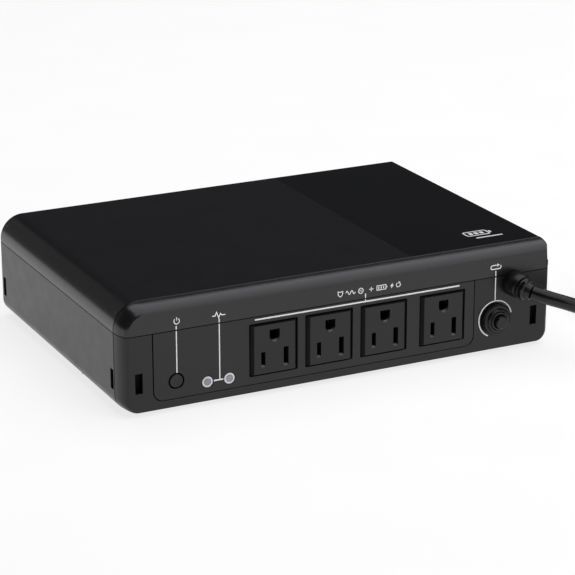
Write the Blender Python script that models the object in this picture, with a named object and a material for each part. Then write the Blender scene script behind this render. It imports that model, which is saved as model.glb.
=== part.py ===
"""A small desktop uninterruptible power supply with four front outlets and a fixed mains cord.

Every length below is in millimetres on the bench: x runs right from the case's left side,
y runs back from the flat of its front, z runs up from its underside.
to_world() turns a bench point into metres, with the origin under the middle of the unit.
"""
import math

import bmesh
import bpy
import numpy as np
from mathutils import Matrix, Vector

MM = 0.001
GAP = 0.3                      # air between neighbouring pieces

# Case
LENGTH = 246.0
DEPTH = 173.5
HEIGHT = 55.0
SEAM_Z = 40.4                  # joint between cover and bottom case
WALL = 2.4
FRONT_WALL = 2.6
FLOOR = 2.6
TOP_RADIUS = 13.0              # the top edge along the left side
RIGHT_RADIUS = 2.4             # and the tighter one along the right
RIGHT_LEAN = 0.9               # the right side leans in this much above the seam
BOTTOM_RADIUS = 7.4
FRONT_ROUND_IN = 4.3           # how far the rounded front rim pulls in
FRONT_ROUND_DEEP = 6.0         # and how far back it reaches
FRONT_LIFT = 0.5               # the rim is nearly square along the underside
BACK_ROUND = 1.6
GROOVE_Y = 9.8                 # fine line that runs round the whole shell
GROOVE_WIDE = 0.5
GROOVE_DEEP = 0.3
CORNER_STEPS = 7
FOOT_HEIGHT = 2.2
FOOT_RADIUS = 6.0
FOOT_RECESS = 0.5
FOOT_CENTRES = ((24.0, 22.0), (LENGTH - 24.0, 22.0), (12.5, 157.0), (LENGTH - 12.5, 157.0))

# Snap latches: windows in the bottom case, tongues on the cover
WINDOW_Z = (9.7, 20.5)
FRONT_WINDOWS = (8.9, 234.5)
SIDE_WINDOWS = (12.95, 168.3)
WINDOW_WIDE = 3.8
TONGUE_WIDE = 3.2
TONGUE_THICK = 1.4

# Front panel and the outlets in it
PANEL_X = (16.4, 198.4)
PANEL_Z = 4.4
PANEL_RADIUS = 5.6
PANEL_THICK = 2.5
FLANGE_TOP = 37.4
OUTLET_X = (82.05, 113.3, 144.7, 179.1)
OUTLET_Z = 22.8
OUTLET_OPENING = (26.5, 27.4)
OUTLET_PROUD = 1.2
OUTLET_BACK = 22.0
OUTLET_FACE = 22.7
SLOT_OFF = 6.35                # blade slots left and right of the outlet's middle
SLOT_Z = 18.0
LINE_SLOT = (1.8, 6.9)
NEUTRAL_SLOT = (2.2, 8.9)
GROUND_Z = 29.9
GROUND_RADIUS = 2.7

# Power button and status lights
BUTTON = (28.9, 13.9)
BUTTON_RADIUS = 3.6
BUTTON_HOLE = 4.1
LENSES = ((45.6, 10.45), (57.55, 10.35))
LENS_RADIUS = 2.9
INDICATOR_BOARD_Y = 13.0

# Reset breaker
BREAKER = (211.2, 17.2)
NECK_RADIUS = 4.8
NUT_RADIUS = 8.5
BREAKER_BUTTON_RADIUS = 3.4
BREAKER_REACH = 7.6            # the reset button's nose in front of the case

# Mains cord
GLAND = (222.0, 35.4)
GLAND_HOLE = 5.4
CORD = 7.5
GLAND_LENGTH = 24.4            # along the cord's own line
CORD_ROUTE = (
    (222.0, 10.0, 35.4), (222.0, 4.0, 35.4), (222.0, -2.0, 35.4), (222.2, -7.0, 35.2),
    (223.2, -11.2, 34.5), (226.4, -15.9, 33.2), (231.9, -20.6, 31.5), (238.6, -24.4, 29.3),
    (246.4, -27.0, 26.3), (254.8, -28.0, 22.7), (263.4, -28.0, 18.7), (272.0, -28.0, 14.6),
    (281.0, -28.0, 10.7), (290.0, -28.0, 7.5), (300.0, -28.0, 4.9), (309.0, -28.0, 3.6),
)
COIL = (337.0, 19.0)
COIL_IN = 28.1
COIL_OUT = 50.9
COIL_LIFT = 1.1                # the tie's strap runs under the turns
COIL_HIGH = 15.2
TIE_ANGLE = 150.0
TIE_WIDE = 10.0
TIE_THICK = 0.8
TAIL_ROUTE = (
    (392.5, 19.0, 1.6), (392.5, 27.0, 1.6), (392.5, 35.0, 2.6),
    (392.5, 43.0, 5.4), (392.5, 51.0, 8.5), (392.5, 57.0, 9.8), (392.5, 62.0, 9.9),
)
PLUG = (392.5, 62.3, 9.9)
PLUG_WIDE = 27.0
PLUG_HIGH = 23.8
PLUG_BLADES_Z = 4.1
PLUG_FACE = 50.0               # from the plug's tail to its face
BLADE_OUT = 16.0

# Inside
BATTERY = ((9.0, 64.0, 3.4), (149.0, 166.0, 50.4))
BOARD = ((154.0, 41.0, 6.3), (240.0, 97.0, 7.9))
BOSSES = ((158.5, 45.0), (235.5, 45.0), (158.5, 93.0), (235.5, 93.0))
CORE = ((161.0, 114.0, 5.0), (227.0, 150.0, 49.5))
BRACKET_BOSSES = ((155.6, 132.0), (232.4, 132.0))

Y_MIDDLE = (DEPTH - BREAKER_REACH) / 2


def to_world(point):
    """The world place, in metres, of a point on the bench."""
    x, y, z = point
    return Vector((x - LENGTH / 2, y - Y_MIDDLE, z + FOOT_HEIGHT)) * MM


# --- materials ---------------------------------------------------------------------------

def finish(name, colour, roughness, metallic=0.0):
    """A Principled material of one colour."""
    made = bpy.data.materials.new(name)
    made.use_nodes = True
    shader = made.node_tree.nodes["Principled BSDF"]
    shader.inputs["Base Color"].default_value = (*colour, 1.0)
    shader.inputs["Roughness"].default_value = roughness
    shader.inputs["Metallic"].default_value = metallic
    made.diffuse_color = (*colour, 1.0)
    return made


def all_finishes():
    """Every finish on the unit, by name."""
    return {
        "cover_plastic": finish("cover_plastic", (0.012, 0.012, 0.013), 0.3),
        "case_plastic": finish("case_plastic", (0.035, 0.034, 0.034), 0.5),
        "panel_plastic": finish("panel_plastic", (0.037, 0.036, 0.035), 0.5),
        "outlet_plastic": finish("outlet_plastic", (0.038, 0.037, 0.037), 0.42),
        "button_plastic": finish("button_plastic", (0.03, 0.03, 0.03), 0.45),
        "lens_plastic": finish("lens_plastic", (0.45, 0.43, 0.44), 0.3),
        "black_nylon": finish("black_nylon", (0.012, 0.012, 0.012), 0.4),
        "cord_pvc": finish("cord_pvc", (0.012, 0.012, 0.012), 0.35),
        "rubber": finish("rubber", (0.02, 0.02, 0.02), 0.8),
        "brass": finish("brass", (0.62, 0.43, 0.16), 0.3, 1.0),
        "nickel": finish("nickel", (0.62, 0.6, 0.56), 0.25, 1.0),
        "steel": finish("steel", (0.45, 0.45, 0.46), 0.35, 1.0),
        "core_steel": finish("core_steel", (0.16, 0.16, 0.17), 0.5, 1.0),
        "coil_tape": finish("coil_tape", (0.6, 0.48, 0.08), 0.4),
        "board_laminate": finish("board_laminate", (0.03, 0.16, 0.06), 0.4),
        "battery_case": finish("battery_case", (0.06, 0.065, 0.07), 0.45),
        "foam": finish("foam", (0.03, 0.03, 0.03), 0.95),
        "aluminium": finish("aluminium", (0.7, 0.71, 0.72), 0.4, 1.0),
        "component_black": finish("component_black", (0.015, 0.015, 0.016), 0.4),
        "component_yellow": finish("component_yellow", (0.65, 0.45, 0.06), 0.4),
        "led_resin": finish("led_resin", (0.7, 0.72, 0.7), 0.15),
        "red_wire": finish("red_wire", (0.45, 0.02, 0.02), 0.4),
        "black_wire": finish("black_wire", (0.015, 0.015, 0.015), 0.4),
        "white_wire": finish("white_wire", (0.75, 0.75, 0.73), 0.4),
        "green_wire": finish("green_wire", (0.03, 0.3, 0.08), 0.4),
    }


# --- meshes on the bench -----------------------------------------------------------------

def make_object(name, bm, origin, look=None):
    """Turn a bench mesh into an object whose origin is a bench point."""
    bmesh.ops.recalc_face_normals(bm, faces=bm.faces)
    bmesh.ops.translate(bm, verts=bm.verts, vec=-Vector(origin))
    bmesh.ops.scale(bm, verts=bm.verts, vec=(MM, MM, MM))
    mesh = bpy.data.meshes.new(name)
    bm.to_mesh(mesh)
    bm.free()
    made = bpy.data.objects.new(name, mesh)
    made.location = to_world(origin)
    if look:
        mesh.materials.append(look)
    bpy.context.scene.collection.objects.link(made)
    bpy.context.view_layer.update()
    return made


def smooth(*objects):
    """Round sides shade smooth, and corners stay sharp."""
    for one in objects:
        one.data.shade_smooth()
        one.data.set_sharp_from_angle(angle=math.radians(32))


def combine(target, tool, operation):
    """Apply one Boolean to target and delete the tool."""
    modifier = target.modifiers.new("shape", "BOOLEAN")
    modifier.operation = operation
    modifier.solver = "EXACT"
    modifier.object = tool
    graph = bpy.context.evaluated_depsgraph_get()
    shaped = bpy.data.meshes.new_from_object(target.evaluated_get(graph))
    shaped.name = target.name
    target.modifiers.clear()
    target.data = shaped
    bpy.data.objects.remove(tool)
    bpy.context.view_layer.update()


def cut(target, bm):
    combine(target, make_object("cutter", bm, (0, 0, 0)), "DIFFERENCE")


def add(target, bm):
    combine(target, make_object("addition", bm, (0, 0, 0)), "UNION")


def keep_inside(target, bm):
    combine(target, make_object("limit", bm, (0, 0, 0)), "INTERSECT")


def box(low, high, bm=None):
    """A box between two corners, in a new mesh or added to one."""
    if bm is None:
        bm = bmesh.new()
    low = Vector(low)
    high = Vector(high)
    size = high - low
    place = Matrix.Translation((low + high) / 2) @ Matrix.Diagonal((*size, 1.0))
    bmesh.ops.create_cube(bm, size=1.0, matrix=place)
    return bm


def soft_box(low, high, radius, steps=1):
    """A box with its edges bevelled."""
    bm = box(low, high)
    bmesh.ops.bevel(bm, geom=bm.edges[:], offset=radius, segments=steps, profile=0.5, affect="EDGES")
    return bm


def loft(rings, bm=None):
    """A closed solid through equal rings of points, with flat ends."""
    if bm is None:
        bm = bmesh.new()
    loops = [[bm.verts.new(point) for point in ring] for ring in rings]
    count = len(loops[0])
    for one, other in zip(loops, loops[1:]):
        for k in range(count):
            after = (k + 1) % count
            bm.faces.new((one[k], one[after], other[after], other[k]))
    bm.faces.new(loops[0])
    bm.faces.new(loops[-1])
    return bm


def rounded_outline(low, high, radii, steps):
    """Points round a rectangle; radii start at its lower left corner and go anticlockwise."""
    points = []
    corners = ((low[0], low[1]), (high[0], low[1]), (high[0], high[1]), (low[0], high[1]))
    inward = ((1, 1), (-1, 1), (-1, -1), (1, -1))
    for turn, (corner, side, radius) in enumerate(zip(corners, inward, radii)):
        if radius <= 0:
            points.append(corner)
            continue
        middle = (corner[0] + side[0] * radius, corner[1] + side[1] * radius)
        for k in range(steps + 1):
            angle = math.radians(180 + 90 * turn + 90 * k / steps)
            points.append((middle[0] + radius * math.cos(angle), middle[1] + radius * math.sin(angle)))
    return points


def plate(outline, start, end, axis="Y"):
    """An outline, drawn across an axis, pushed along it from start to end."""
    place = {
        "X": lambda a, b, t: (t, a, b),
        "Y": lambda a, b, t: (a, t, b),
        "Z": lambda a, b, t: (a, b, t),
    }[axis]
    return loft([[place(a, b, t) for a, b in outline] for t in (start, end)])


def turned(profile, centre, steps=32, axis="Y"):
    """A solid of revolution; the profile's ends lie on the axis, or it closes on itself."""
    bm = bmesh.new()
    hollow = profile[0][0] > 0
    verts = [bm.verts.new((radius, 0.0, along)) for radius, along in profile]
    edges = [bm.edges.new(pair) for pair in zip(verts, verts[1:])]
    if hollow:
        edges.append(bm.edges.new((verts[-1], verts[0])))
    bmesh.ops.spin(
        bm, geom=verts + edges, cent=(0, 0, 0), axis=(0, 0, 1), angle=math.tau, steps=steps, use_duplicate=False
    )
    bmesh.ops.remove_doubles(bm, verts=bm.verts[:], dist=0.0005)
    if axis == "Y":
        turn = Matrix.Rotation(math.radians(-90), 4, "X")
        bmesh.ops.transform(bm, matrix=turn, verts=bm.verts[:])
    bmesh.ops.translate(bm, verts=bm.verts[:], vec=Vector(centre))
    return bm


def rod(radius, centre, start, end, steps=24, axis="Y"):
    """A plain cylinder along an axis through a centre."""
    return turned([(0, start), (radius, start), (radius, end), (0, end)], centre, steps, axis)


def smooth_curve(points, step):
    """Points a step apart on the natural cubic spline through the given ones."""
    points = np.array(points, float)
    knots = np.concatenate([[0.0], np.cumsum(np.linalg.norm(np.diff(points, axis=0), axis=1))])
    spans = np.diff(knots)
    count = len(points)
    system = np.eye(count)
    right = np.zeros_like(points)
    for k in range(1, count - 1):
        system[k, k - 1:k + 2] = spans[k - 1], 2 * (spans[k - 1] + spans[k]), spans[k]
        rise = (points[k + 1] - points[k]) / spans[k] - (points[k] - points[k - 1]) / spans[k - 1]
        right[k] = 6 * rise
    bends = np.linalg.solve(system, right)
    fine = []
    for at in np.linspace(0.0, knots[-1], 40 * count):
        k = min(int(np.searchsorted(knots, at, side="right")) - 1, count - 2)
        before = at - knots[k]
        after = knots[k + 1] - at
        span = spans[k]
        fine.append(
            (bends[k] * after ** 3 + bends[k + 1] * before ** 3) / (6 * span)
            + (points[k] / span - bends[k] * span / 6) * after
            + (points[k + 1] / span - bends[k + 1] * span / 6) * before
        )
    fine = np.array(fine)
    along = np.concatenate([[0.0], np.cumsum(np.linalg.norm(np.diff(fine, axis=0), axis=1))])
    places = np.linspace(0.0, along[-1], max(2, round(along[-1] / step)) + 1)
    return np.stack([np.interp(places, along, fine[:, k]) for k in range(3)], axis=1)


def part_of_curve(points, start, end, step):
    """The stretch of a smooth curve between two distances along it."""
    fine = smooth_curve(points, 0.5)
    along = np.concatenate([[0.0], np.cumsum(np.linalg.norm(np.diff(fine, axis=0), axis=1))])
    end = min(end, along[-1])
    places = np.linspace(start, end, max(2, round((end - start) / step)) + 1)
    return np.stack([np.interp(places, along, fine[:, k]) for k in range(3)], axis=1)


def tube(name, points, diameter, look, roundness=2):
    """A cord or wire along bench points, as a curve with filled ends."""
    line = bpy.data.curves.new(name, "CURVE")
    line.dimensions = "3D"
    line.bevel_depth = diameter / 2 * MM
    line.bevel_resolution = roundness
    line.render_resolution_u = 0
    line.use_fill_caps = True
    spline = line.splines.new("POLY")
    spline.points.add(len(points) - 1)
    origin = points[0]
    for knot, point in zip(spline.points, points):
        knot.co = (*((Vector(point) - Vector(origin)) * MM), 1.0)
    line.materials.append(look)
    made = bpy.data.objects.new(name, line)
    made.location = to_world(origin)
    bpy.context.scene.collection.objects.link(made)
    return made


# --- the case ----------------------------------------------------------------------------

def right_top(inset):
    """Points up the leaning right side and round its top edge, pulled in by an inset."""
    radius = max(RIGHT_RADIUS - inset, 0.25)
    lean = math.atan(RIGHT_LEAN / (HEIGHT - RIGHT_RADIUS - SEAM_Z))
    edge = LENGTH - inset
    centre_z = HEIGHT - inset - radius
    start_z = centre_z + radius * math.sin(lean)
    centre_x = edge - (start_z - SEAM_Z) * math.tan(lean) - radius * math.cos(lean)
    points = [(edge, SEAM_Z)]
    for k in range(CORNER_STEPS + 1):
        angle = lean + (math.pi / 2 - lean) * k / CORNER_STEPS
        points.append((centre_x + radius * math.cos(angle), centre_z + radius * math.sin(angle)))
    return points


def case_ring(y, inset, lift=None):
    """The case's outline at one depth, pulled in by an inset, and by a lift of its own underneath."""
    lift = inset if lift is None else lift
    radius = BOTTOM_RADIUS - (inset + lift) / 2
    radii = (radius, radius, 0, TOP_RADIUS - inset)
    outline = rounded_outline((inset, lift), (LENGTH - inset, HEIGHT - inset), radii, CORNER_STEPS)
    corner = 2 * (CORNER_STEPS + 1)
    outline[corner:corner + 1] = right_top(inset)
    return [(x, y, z) for x, z in outline]


def case_skin():
    """The closed outer form, from its rounded front rim to its rounded back edge."""
    stations = []
    for k in range(6):
        angle = math.radians(90 - 18 * k)
        depth = FRONT_ROUND_DEEP * (1 - math.sin(angle))
        lift = max(0.0, FRONT_LIFT * (1 - depth / 1.2))
        stations.append((depth, FRONT_ROUND_IN * (1 - math.cos(angle)), lift))
    half = GROOVE_WIDE / 2
    stations += [
        (GROOVE_Y - half, 0.0), (GROOVE_Y - half + 0.1, GROOVE_DEEP),
        (GROOVE_Y + half - 0.1, GROOVE_DEEP), (GROOVE_Y + half, 0.0),
    ]
    for k in range(5):
        angle = math.radians(22.5 * k)
        stations.append((DEPTH - BACK_ROUND * (1 - math.sin(angle)), BACK_ROUND * (1 - math.cos(angle))))
    return loft([case_ring(*station) for station in stations])


def case_hollow():
    """The space inside the walls."""
    return loft([case_ring(FRONT_WALL, WALL), case_ring(DEPTH - WALL, WALL)])


def windows(bm):
    """Latch windows through the front and both sides."""
    low, high = WINDOW_Z
    half = WINDOW_WIDE / 2
    for x in FRONT_WINDOWS:
        box((x - half, -1, low), (x + half, FRONT_WALL + 0.5, high), bm)
    for y in SIDE_WINDOWS:
        box((-1, y - half, low), (WALL + 0.5, y + half, high), bm)
        box((LENGTH - WALL - 0.5, y - half, low), (LENGTH + 1, y + half, high), bm)
    return bm


def vents(bm):
    """Narrow air slots in the floor beside the board, and in the back behind the transformer."""
    for k in range(6):
        x = 168.0 + 8.0 * k
        box((x, 101.0, -1), (x + 2.4, 111.0, FLOOR + 0.5), bm)
        box((x, DEPTH - WALL - 0.5, 14.0), (x + 2.4, DEPTH + 1, 30.0), bm)
    return bm


def foot_recesses(bm):
    for x, y in FOOT_CENTRES:
        bmesh.ops.create_cone(
            bm, cap_ends=True, segments=32, radius1=FOOT_RADIUS + GAP, radius2=FOOT_RADIUS + GAP,
            depth=2.0, matrix=Matrix.Translation((x, y, FOOT_RECESS - 1.0)),
        )
    return bm


def make_bottom_case(looks):
    case = make_object("bottom_case", case_skin(), (LENGTH / 2, DEPTH / 2, 0), looks["case_plastic"])
    cut(case, case_hollow())
    keep_inside(case, box((-5, -5, -5), (LENGTH + 5, DEPTH + 5, SEAM_Z - GAP / 2)))
    # Ribs round the battery.
    right = BATTERY[1][0] + 1.3
    front = BATTERY[0][1] - 6.0
    add(case, box((right, front, FLOOR - 0.5), (right + 1.6, DEPTH - WALL + 0.5, 30.0)))
    add(case, box((WALL - 0.5, front, FLOOR - 0.5), (right + 0.8, front + 1.6, 30.0)))
    # Screw bosses for the main board and the transformer's bracket.
    for x, y in BOSSES:
        add(case, rod(3.2, (x, y, 0), FLOOR - 0.5, 6.0, 20, "Z"))
        cut(case, rod(1.5, (x, y, 0), 3.2, 8.0, 16, "Z"))
    for x, y in BRACKET_BOSSES:
        add(case, rod(3.6, (x, y, 0), FLOOR - 0.5, 6.0, 20, "Z"))
        cut(case, rod(1.5, (x, y, 0), 3.2, 8.0, 16, "Z"))
    panel_outline = rounded_outline(
        (PANEL_X[0], PANEL_Z), (PANEL_X[1], SEAM_Z + 5), (PANEL_RADIUS, PANEL_RADIUS, 0, 0), 6
    )
    cut(case, plate(panel_outline, -1, FRONT_WALL + 0.5))
    cut(case, windows(bmesh.new()))
    cut(case, vents(bmesh.new()))
    cut(case, foot_recesses(bmesh.new()))
    cut(case, rod(NECK_RADIUS + GAP, (BREAKER[0], 0, BREAKER[1]), -1, FRONT_WALL + 0.5, 28))
    cut(case, rod(GLAND_HOLE, (GLAND[0], 0, GLAND[1]), -1, FRONT_WALL + 0.5, 32))
    smooth(case)
    return case


def tongue(bm, x, y, along, into):
    """A snap tongue that hangs from the cover, its hook pointing into a window.

    along is the direction of its width and into that of its hook, both in the XY plane.
    """
    half = TONGUE_WIDE / 2
    section = (
        (0.0, 50.0), (0.0, 20.1), (1.9, 20.1), (1.9, 18.6), (0.0, 12.5),
        (0.0, 10.6), (-TONGUE_THICK, 10.6), (-TONGUE_THICK, 50.0),
    )
    rings = []
    for side in (-half, half):
        rings.append([
            (x + along[0] * side + into[0] * reach, y + along[1] * side + into[1] * reach, z)
            for reach, z in section
        ])
    return loft(rings, bm)


def make_top_cover(looks):
    cover = make_object("top_cover", case_skin(), (LENGTH / 2, DEPTH / 2, SEAM_Z), looks["cover_plastic"])
    cut(cover, case_hollow())
    keep_inside(cover, box((-5, -5, SEAM_Z + GAP / 2), (LENGTH + 5, DEPTH + 5, HEIGHT + 5)))
    # A lip that steps down inside the bottom case's wall.
    step = WALL + GAP
    lip = make_object("lip", box((step, FRONT_WALL + GAP, 38.0), (LENGTH - step, DEPTH - step, 42.0)), (0, 0, 0))
    cut(lip, box((step + 1.2, FRONT_WALL + GAP + 1.2, 30.0), (LENGTH - step - 1.2, DEPTH - step - 1.2, 60.0)))
    shelf = make_object("shelf", box((2.0, 1.8, 41.4), (LENGTH - 2.0, DEPTH - 2.0, 44.4)), (0, 0, 0))
    cut(shelf, box((step + 1.2, FRONT_WALL + GAP + 1.2, 30.0), (LENGTH - step - 1.2, DEPTH - step - 1.2, 60.0)))
    combine(lip, shelf, "UNION")
    combine(cover, lip, "UNION")
    tongues = bmesh.new()
    for x in FRONT_WINDOWS:
        tongue(tongues, x, FRONT_WALL + GAP, (1, 0), (0, -1))
    for y in SIDE_WINDOWS:
        tongue(tongues, WALL + GAP, y, (0, 1), (-1, 0))
        tongue(tongues, LENGTH - WALL - GAP, y, (0, 1), (1, 0))
    add(cover, tongues)
    cut(cover, rod(GLAND_HOLE, (GLAND[0], 0, GLAND[1]), -1, FRONT_WALL + 0.5, 32))
    cut(cover, box((GLAND[0] - 8, FRONT_WALL, 30), (GLAND[0] + 8, 8, 43.6)))
    smooth(cover)
    return cover


def make_feet(looks):
    for number, (x, y) in enumerate(FOOT_CENTRES, 1):
        top = FOOT_RECESS - GAP
        profile = [(0, -FOOT_HEIGHT), (5.4, -FOOT_HEIGHT), (FOOT_RADIUS, -FOOT_HEIGHT + 0.6), (FOOT_RADIUS, top), (0, top)]
        foot = make_object(f"foot_{number}", turned(profile, (x, y, 0), 24, "Z"), (x, y, 0), looks["rubber"])
        smooth(foot)


# --- the front panel ---------------------------------------------------------------------

def make_front_panel(looks):
    left, right = PANEL_X[0] + GAP, PANEL_X[1] - GAP
    bottom = PANEL_Z + GAP
    radius = PANEL_RADIUS - GAP
    face = rounded_outline((left, bottom), (right, SEAM_Z - GAP / 2), (radius, radius, 0, 0), 6)
    panel = make_object("front_panel", plate(face, 0.0, PANEL_THICK), (107.4, 0, 22), looks["panel_plastic"])
    # A flange behind the case's wall, under the cover's lip, stops the panel from pushing out.
    behind = FRONT_WALL + GAP
    neck = rounded_outline((left, bottom), (right, FLANGE_TOP), (radius, radius, 0, 0), 6)
    add(panel, plate(neck, PANEL_THICK - 0.3, behind + 0.3))
    flange = rounded_outline((14.0, 3.2), (200.8, FLANGE_TOP - 0.1), (1.5, 1.5, 1.5, 1.5), 3)
    add(panel, plate(flange, behind, behind + 1.5))
    holes = bmesh.new()
    wide, high = OUTLET_OPENING
    for x in OUTLET_X:
        box((x - wide / 2, -2, OUTLET_Z - high / 2), (x + wide / 2, 6, OUTLET_Z + high / 2), holes)
    cut(panel, holes)
    cut(panel, rod(BUTTON_HOLE, (BUTTON[0], 0, BUTTON[1]), -1, 6, 32))
    for x, z in LENSES:
        cut(panel, rod(LENS_RADIUS + GAP / 2 + 0.15, (x, 0, z), -1, 6, 28))
    smooth(panel)
    return panel


def outlet_face_outline(x):
    """Plan of one outlet: a raised flat with a slope down each side."""
    half = OUTLET_OPENING[0] / 2 - GAP
    face = OUTLET_FACE / 2
    return [
        (x - half, 0.6), (x - face, -OUTLET_PROUD), (x + face, -OUTLET_PROUD),
        (x + half, 0.6), (x + half, OUTLET_BACK), (x - half, OUTLET_BACK),
    ]


def ground_outline(x):
    """Round below, flat on top."""
    points = []
    for k in range(13):
        angle = math.radians(180 + 15 * k)
        points.append((x + GROUND_RADIUS * math.cos(angle), GROUND_Z + GROUND_RADIUS * math.sin(angle)))
    points += [(x + GROUND_RADIUS, GROUND_Z + 2.8), (x - GROUND_RADIUS, GROUND_Z + 2.8)]
    return points


def make_outlets(looks):
    wall_back = 2.2
    for number, x in enumerate(OUTLET_X, 1):
        half_high = OUTLET_OPENING[1] / 2 - GAP
        body = plate(outlet_face_outline(x), OUTLET_Z - half_high, OUTLET_Z + half_high, "Z")
        outlet = make_object(f"outlet_{number}", body, (x, 0, OUTLET_Z), looks["outlet_plastic"])
        # Chambers for the contacts, open at the back.
        chambers = bmesh.new()
        for side in (-SLOT_OFF, SLOT_OFF):
            box((x + side - 2.8, wall_back, SLOT_Z - 5.4), (x + side + 2.8, 30, SLOT_Z + 5.4), chambers)
        box((x - 3.7, wall_back, GROUND_Z - 4.0), (x + 3.7, 30, GROUND_Z + 4.0), chambers)
        cut(outlet, chambers)
        # Blade slots and the ground hole through the face.
        slots = bmesh.new()
        for side, (wide, high) in ((-SLOT_OFF, LINE_SLOT), (SLOT_OFF, NEUTRAL_SLOT)):
            box(
                (x + side - wide / 2, -3, SLOT_Z - high / 2), (x + side + wide / 2, wall_back + 0.5, SLOT_Z + high / 2),
                slots,
            )
        cut(outlet, slots)
        cut(outlet, plate(ground_outline(x), -3, wall_back + 0.5))
        smooth(outlet)


def make_busbar(name, side, low, high, strip, leaf_off, leaf_thick, look):
    """A brass strip behind the outlets with a pair of contact leaves for each of them."""
    back = OUTLET_BACK + GAP
    first = OUTLET_X[0] + side - 5.0
    last = OUTLET_X[-1] + side + 5.0
    bar = make_object(name, box((first, back, strip[0]), (last, back + 0.8, strip[1])), (first, back, strip[0]), look)
    tabs = bmesh.new()
    half = leaf_off + leaf_thick + 0.3
    for x in OUTLET_X:
        middle = x + side
        bottom = min(low, strip[0]) + 0.2
        top = max(high, strip[1]) - 0.2
        box((middle - half, back + 0.1, bottom), (middle + half, back + 0.7, top), tabs)
    add(bar, tabs)
    leaves = bmesh.new()
    for x in OUTLET_X:
        for hand in (-1, 1):
            near = x + side + hand * leaf_off
            far = near + hand * leaf_thick
            box((min(near, far), 6.0, low), (max(near, far), back + 0.5, high), leaves)
    add(bar, leaves)
    return bar


def make_busbars(looks):
    make_busbar("line_busbar", -SLOT_OFF, 14.9, 21.1, (10.4, 13.4), 0.9, 0.6, looks["brass"])
    make_busbar("neutral_busbar", SLOT_OFF, 14.9, 21.1, (23.4, 26.0), 0.9, 0.6, looks["brass"])
    make_busbar("ground_busbar", 0.0, 27.9, 31.9, (32.9, 35.6), 2.3, 0.6, looks["brass"])
    cover = soft_box((66.5, 24.2, 9.4), (195.0, 26.4, 36.2), 0.5)
    made = make_object("outlet_rear_cover", cover, (130.8, 24.2, 22.8), looks["black_nylon"])
    holes = bmesh.new()
    for x in (70.5, 98.0, 129.0, 161.5, 191.0):
        box((x - 1.2, 20, 27.5), (x + 1.2, 30, 31.5), holes)
    cut(made, holes)


# --- button, lights and their board ------------------------------------------------------

def make_power_button(looks):
    x, z = BUTTON
    cap = [
        (0, 0.0), (BUTTON_RADIUS - 0.5, 0.05), (BUTTON_RADIUS, 0.5), (BUTTON_RADIUS, 4.9),
        (5.0, 4.9), (5.0, 5.9), (2.0, 5.9), (2.0, 7.8), (0, 7.8),
    ]
    button = make_object("power_button", turned(cap, (x, 0, z), 24), (x, 0, z), looks["button_plastic"])
    smooth(button)
    plunger = make_object("switch_plunger", rod(1.6, (x, 0, z), 8.1, 11.4, 20), (x, 8.1, z), looks["button_plastic"])
    smooth(plunger)
    switch = make_object(
        "power_switch", soft_box((x - 3, 9.2, z - 3), (x + 3, INDICATOR_BOARD_Y - GAP, z + 3), 0.3),
        (x, 9.2, z), looks["component_black"],
    )
    cut(switch, rod(1.9, (x, 0, z), 8, 12.5, 20))
    smooth(switch)


def make_lights(looks):
    for side, (x, z) in zip(("left", "right"), LENSES):
        pipe = [
            (0, 0.1), (1.75, 0.1), (1.85, 0.0), (LENS_RADIUS - 0.2, 0.0), (LENS_RADIUS, 0.2), (LENS_RADIUS, 4.7),
            (3.9, 4.7), (3.9, 5.7), (2.2, 5.7), (2.2, 9.0), (0, 9.0),
        ]
        lens = make_object(f"status_lens_{side}", turned(pipe, (x, 0, z), 20), (x, 0, z), looks["lens_plastic"])
        smooth(lens)
        dome = [(0, 9.3), (1.2, 9.5), (2.0, 10.2), (2.3, 11.2), (2.3, 11.9), (2.7, 11.9), (2.7, 12.7), (0, 12.7)]
        led = make_object(f"status_led_{side}", turned(dome, (x, 0, z), 16), (x, 12.7, z), looks["led_resin"])
        smooth(led)
    board = box((20.0, INDICATOR_BOARD_Y, 4.0), (64.0, INDICATOR_BOARD_Y + 1.6, 26.0))
    make_object("indicator_board", board, (42, INDICATOR_BOARD_Y, 15), looks["board_laminate"])


# --- reset breaker -----------------------------------------------------------------------

def knurled_profile(radius, teeth, deep):
    """Outline of a nut with fine ridges round its rim."""
    points = []
    for k in range(teeth * 2):
        angle = math.tau * k / (teeth * 2)
        reach = radius - deep * (k % 2)
        points.append((reach * math.cos(angle), reach * math.sin(angle)))
    return points


def make_breaker(looks):
    x, z = BREAKER
    body = make_object(
        "breaker_body", soft_box((x - 8, FRONT_WALL + GAP, z - 9), (x + 8, 31, z + 9), 0.8),
        (x, FRONT_WALL, z), looks["component_black"],
    )
    add(body, rod(NECK_RADIUS, (x, 0, z), -5.2, 4.0, 32))
    cut(body, rod(BREAKER_BUTTON_RADIUS + GAP, (x, 0, z), -8.0, 12.0, 32))
    add(body, box((x - 5.5, 30.5, z - 3.2), (x - 4.7, 37.5, z + 3.2)))
    add(body, box((x + 4.7, 30.5, z - 3.2), (x + 5.5, 37.5, z + 3.2)))
    smooth(body)
    outline = [(x + a, z + b) for a, b in knurled_profile(NUT_RADIUS, 36, 0.45)]
    nut = make_object("breaker_nut", plate(outline, -3.2, -GAP), (x, 0, z), looks["black_nylon"])
    collar = [(0, -4.5), (5.6, -4.5), (6.1, -4.1), (6.4, -2.6), (0, -2.6)]
    add(nut, turned(collar, (x, 0, z), 32))
    cut(nut, rod(NECK_RADIUS + GAP, (x, 0, z), -8.0, 2.0, 32))
    smooth(nut)
    nose = [
        (0, -BREAKER_REACH), (BREAKER_BUTTON_RADIUS - 0.7, -BREAKER_REACH),
        (BREAKER_BUTTON_RADIUS, -BREAKER_REACH + 0.6), (BREAKER_BUTTON_RADIUS, 10.0), (0, 10.0),
    ]
    button = make_object("breaker_button", turned(nose, (x, 0, z), 28), (x, 0, z), looks["black_nylon"])
    smooth(button)


# --- mains cord --------------------------------------------------------------------------

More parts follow.
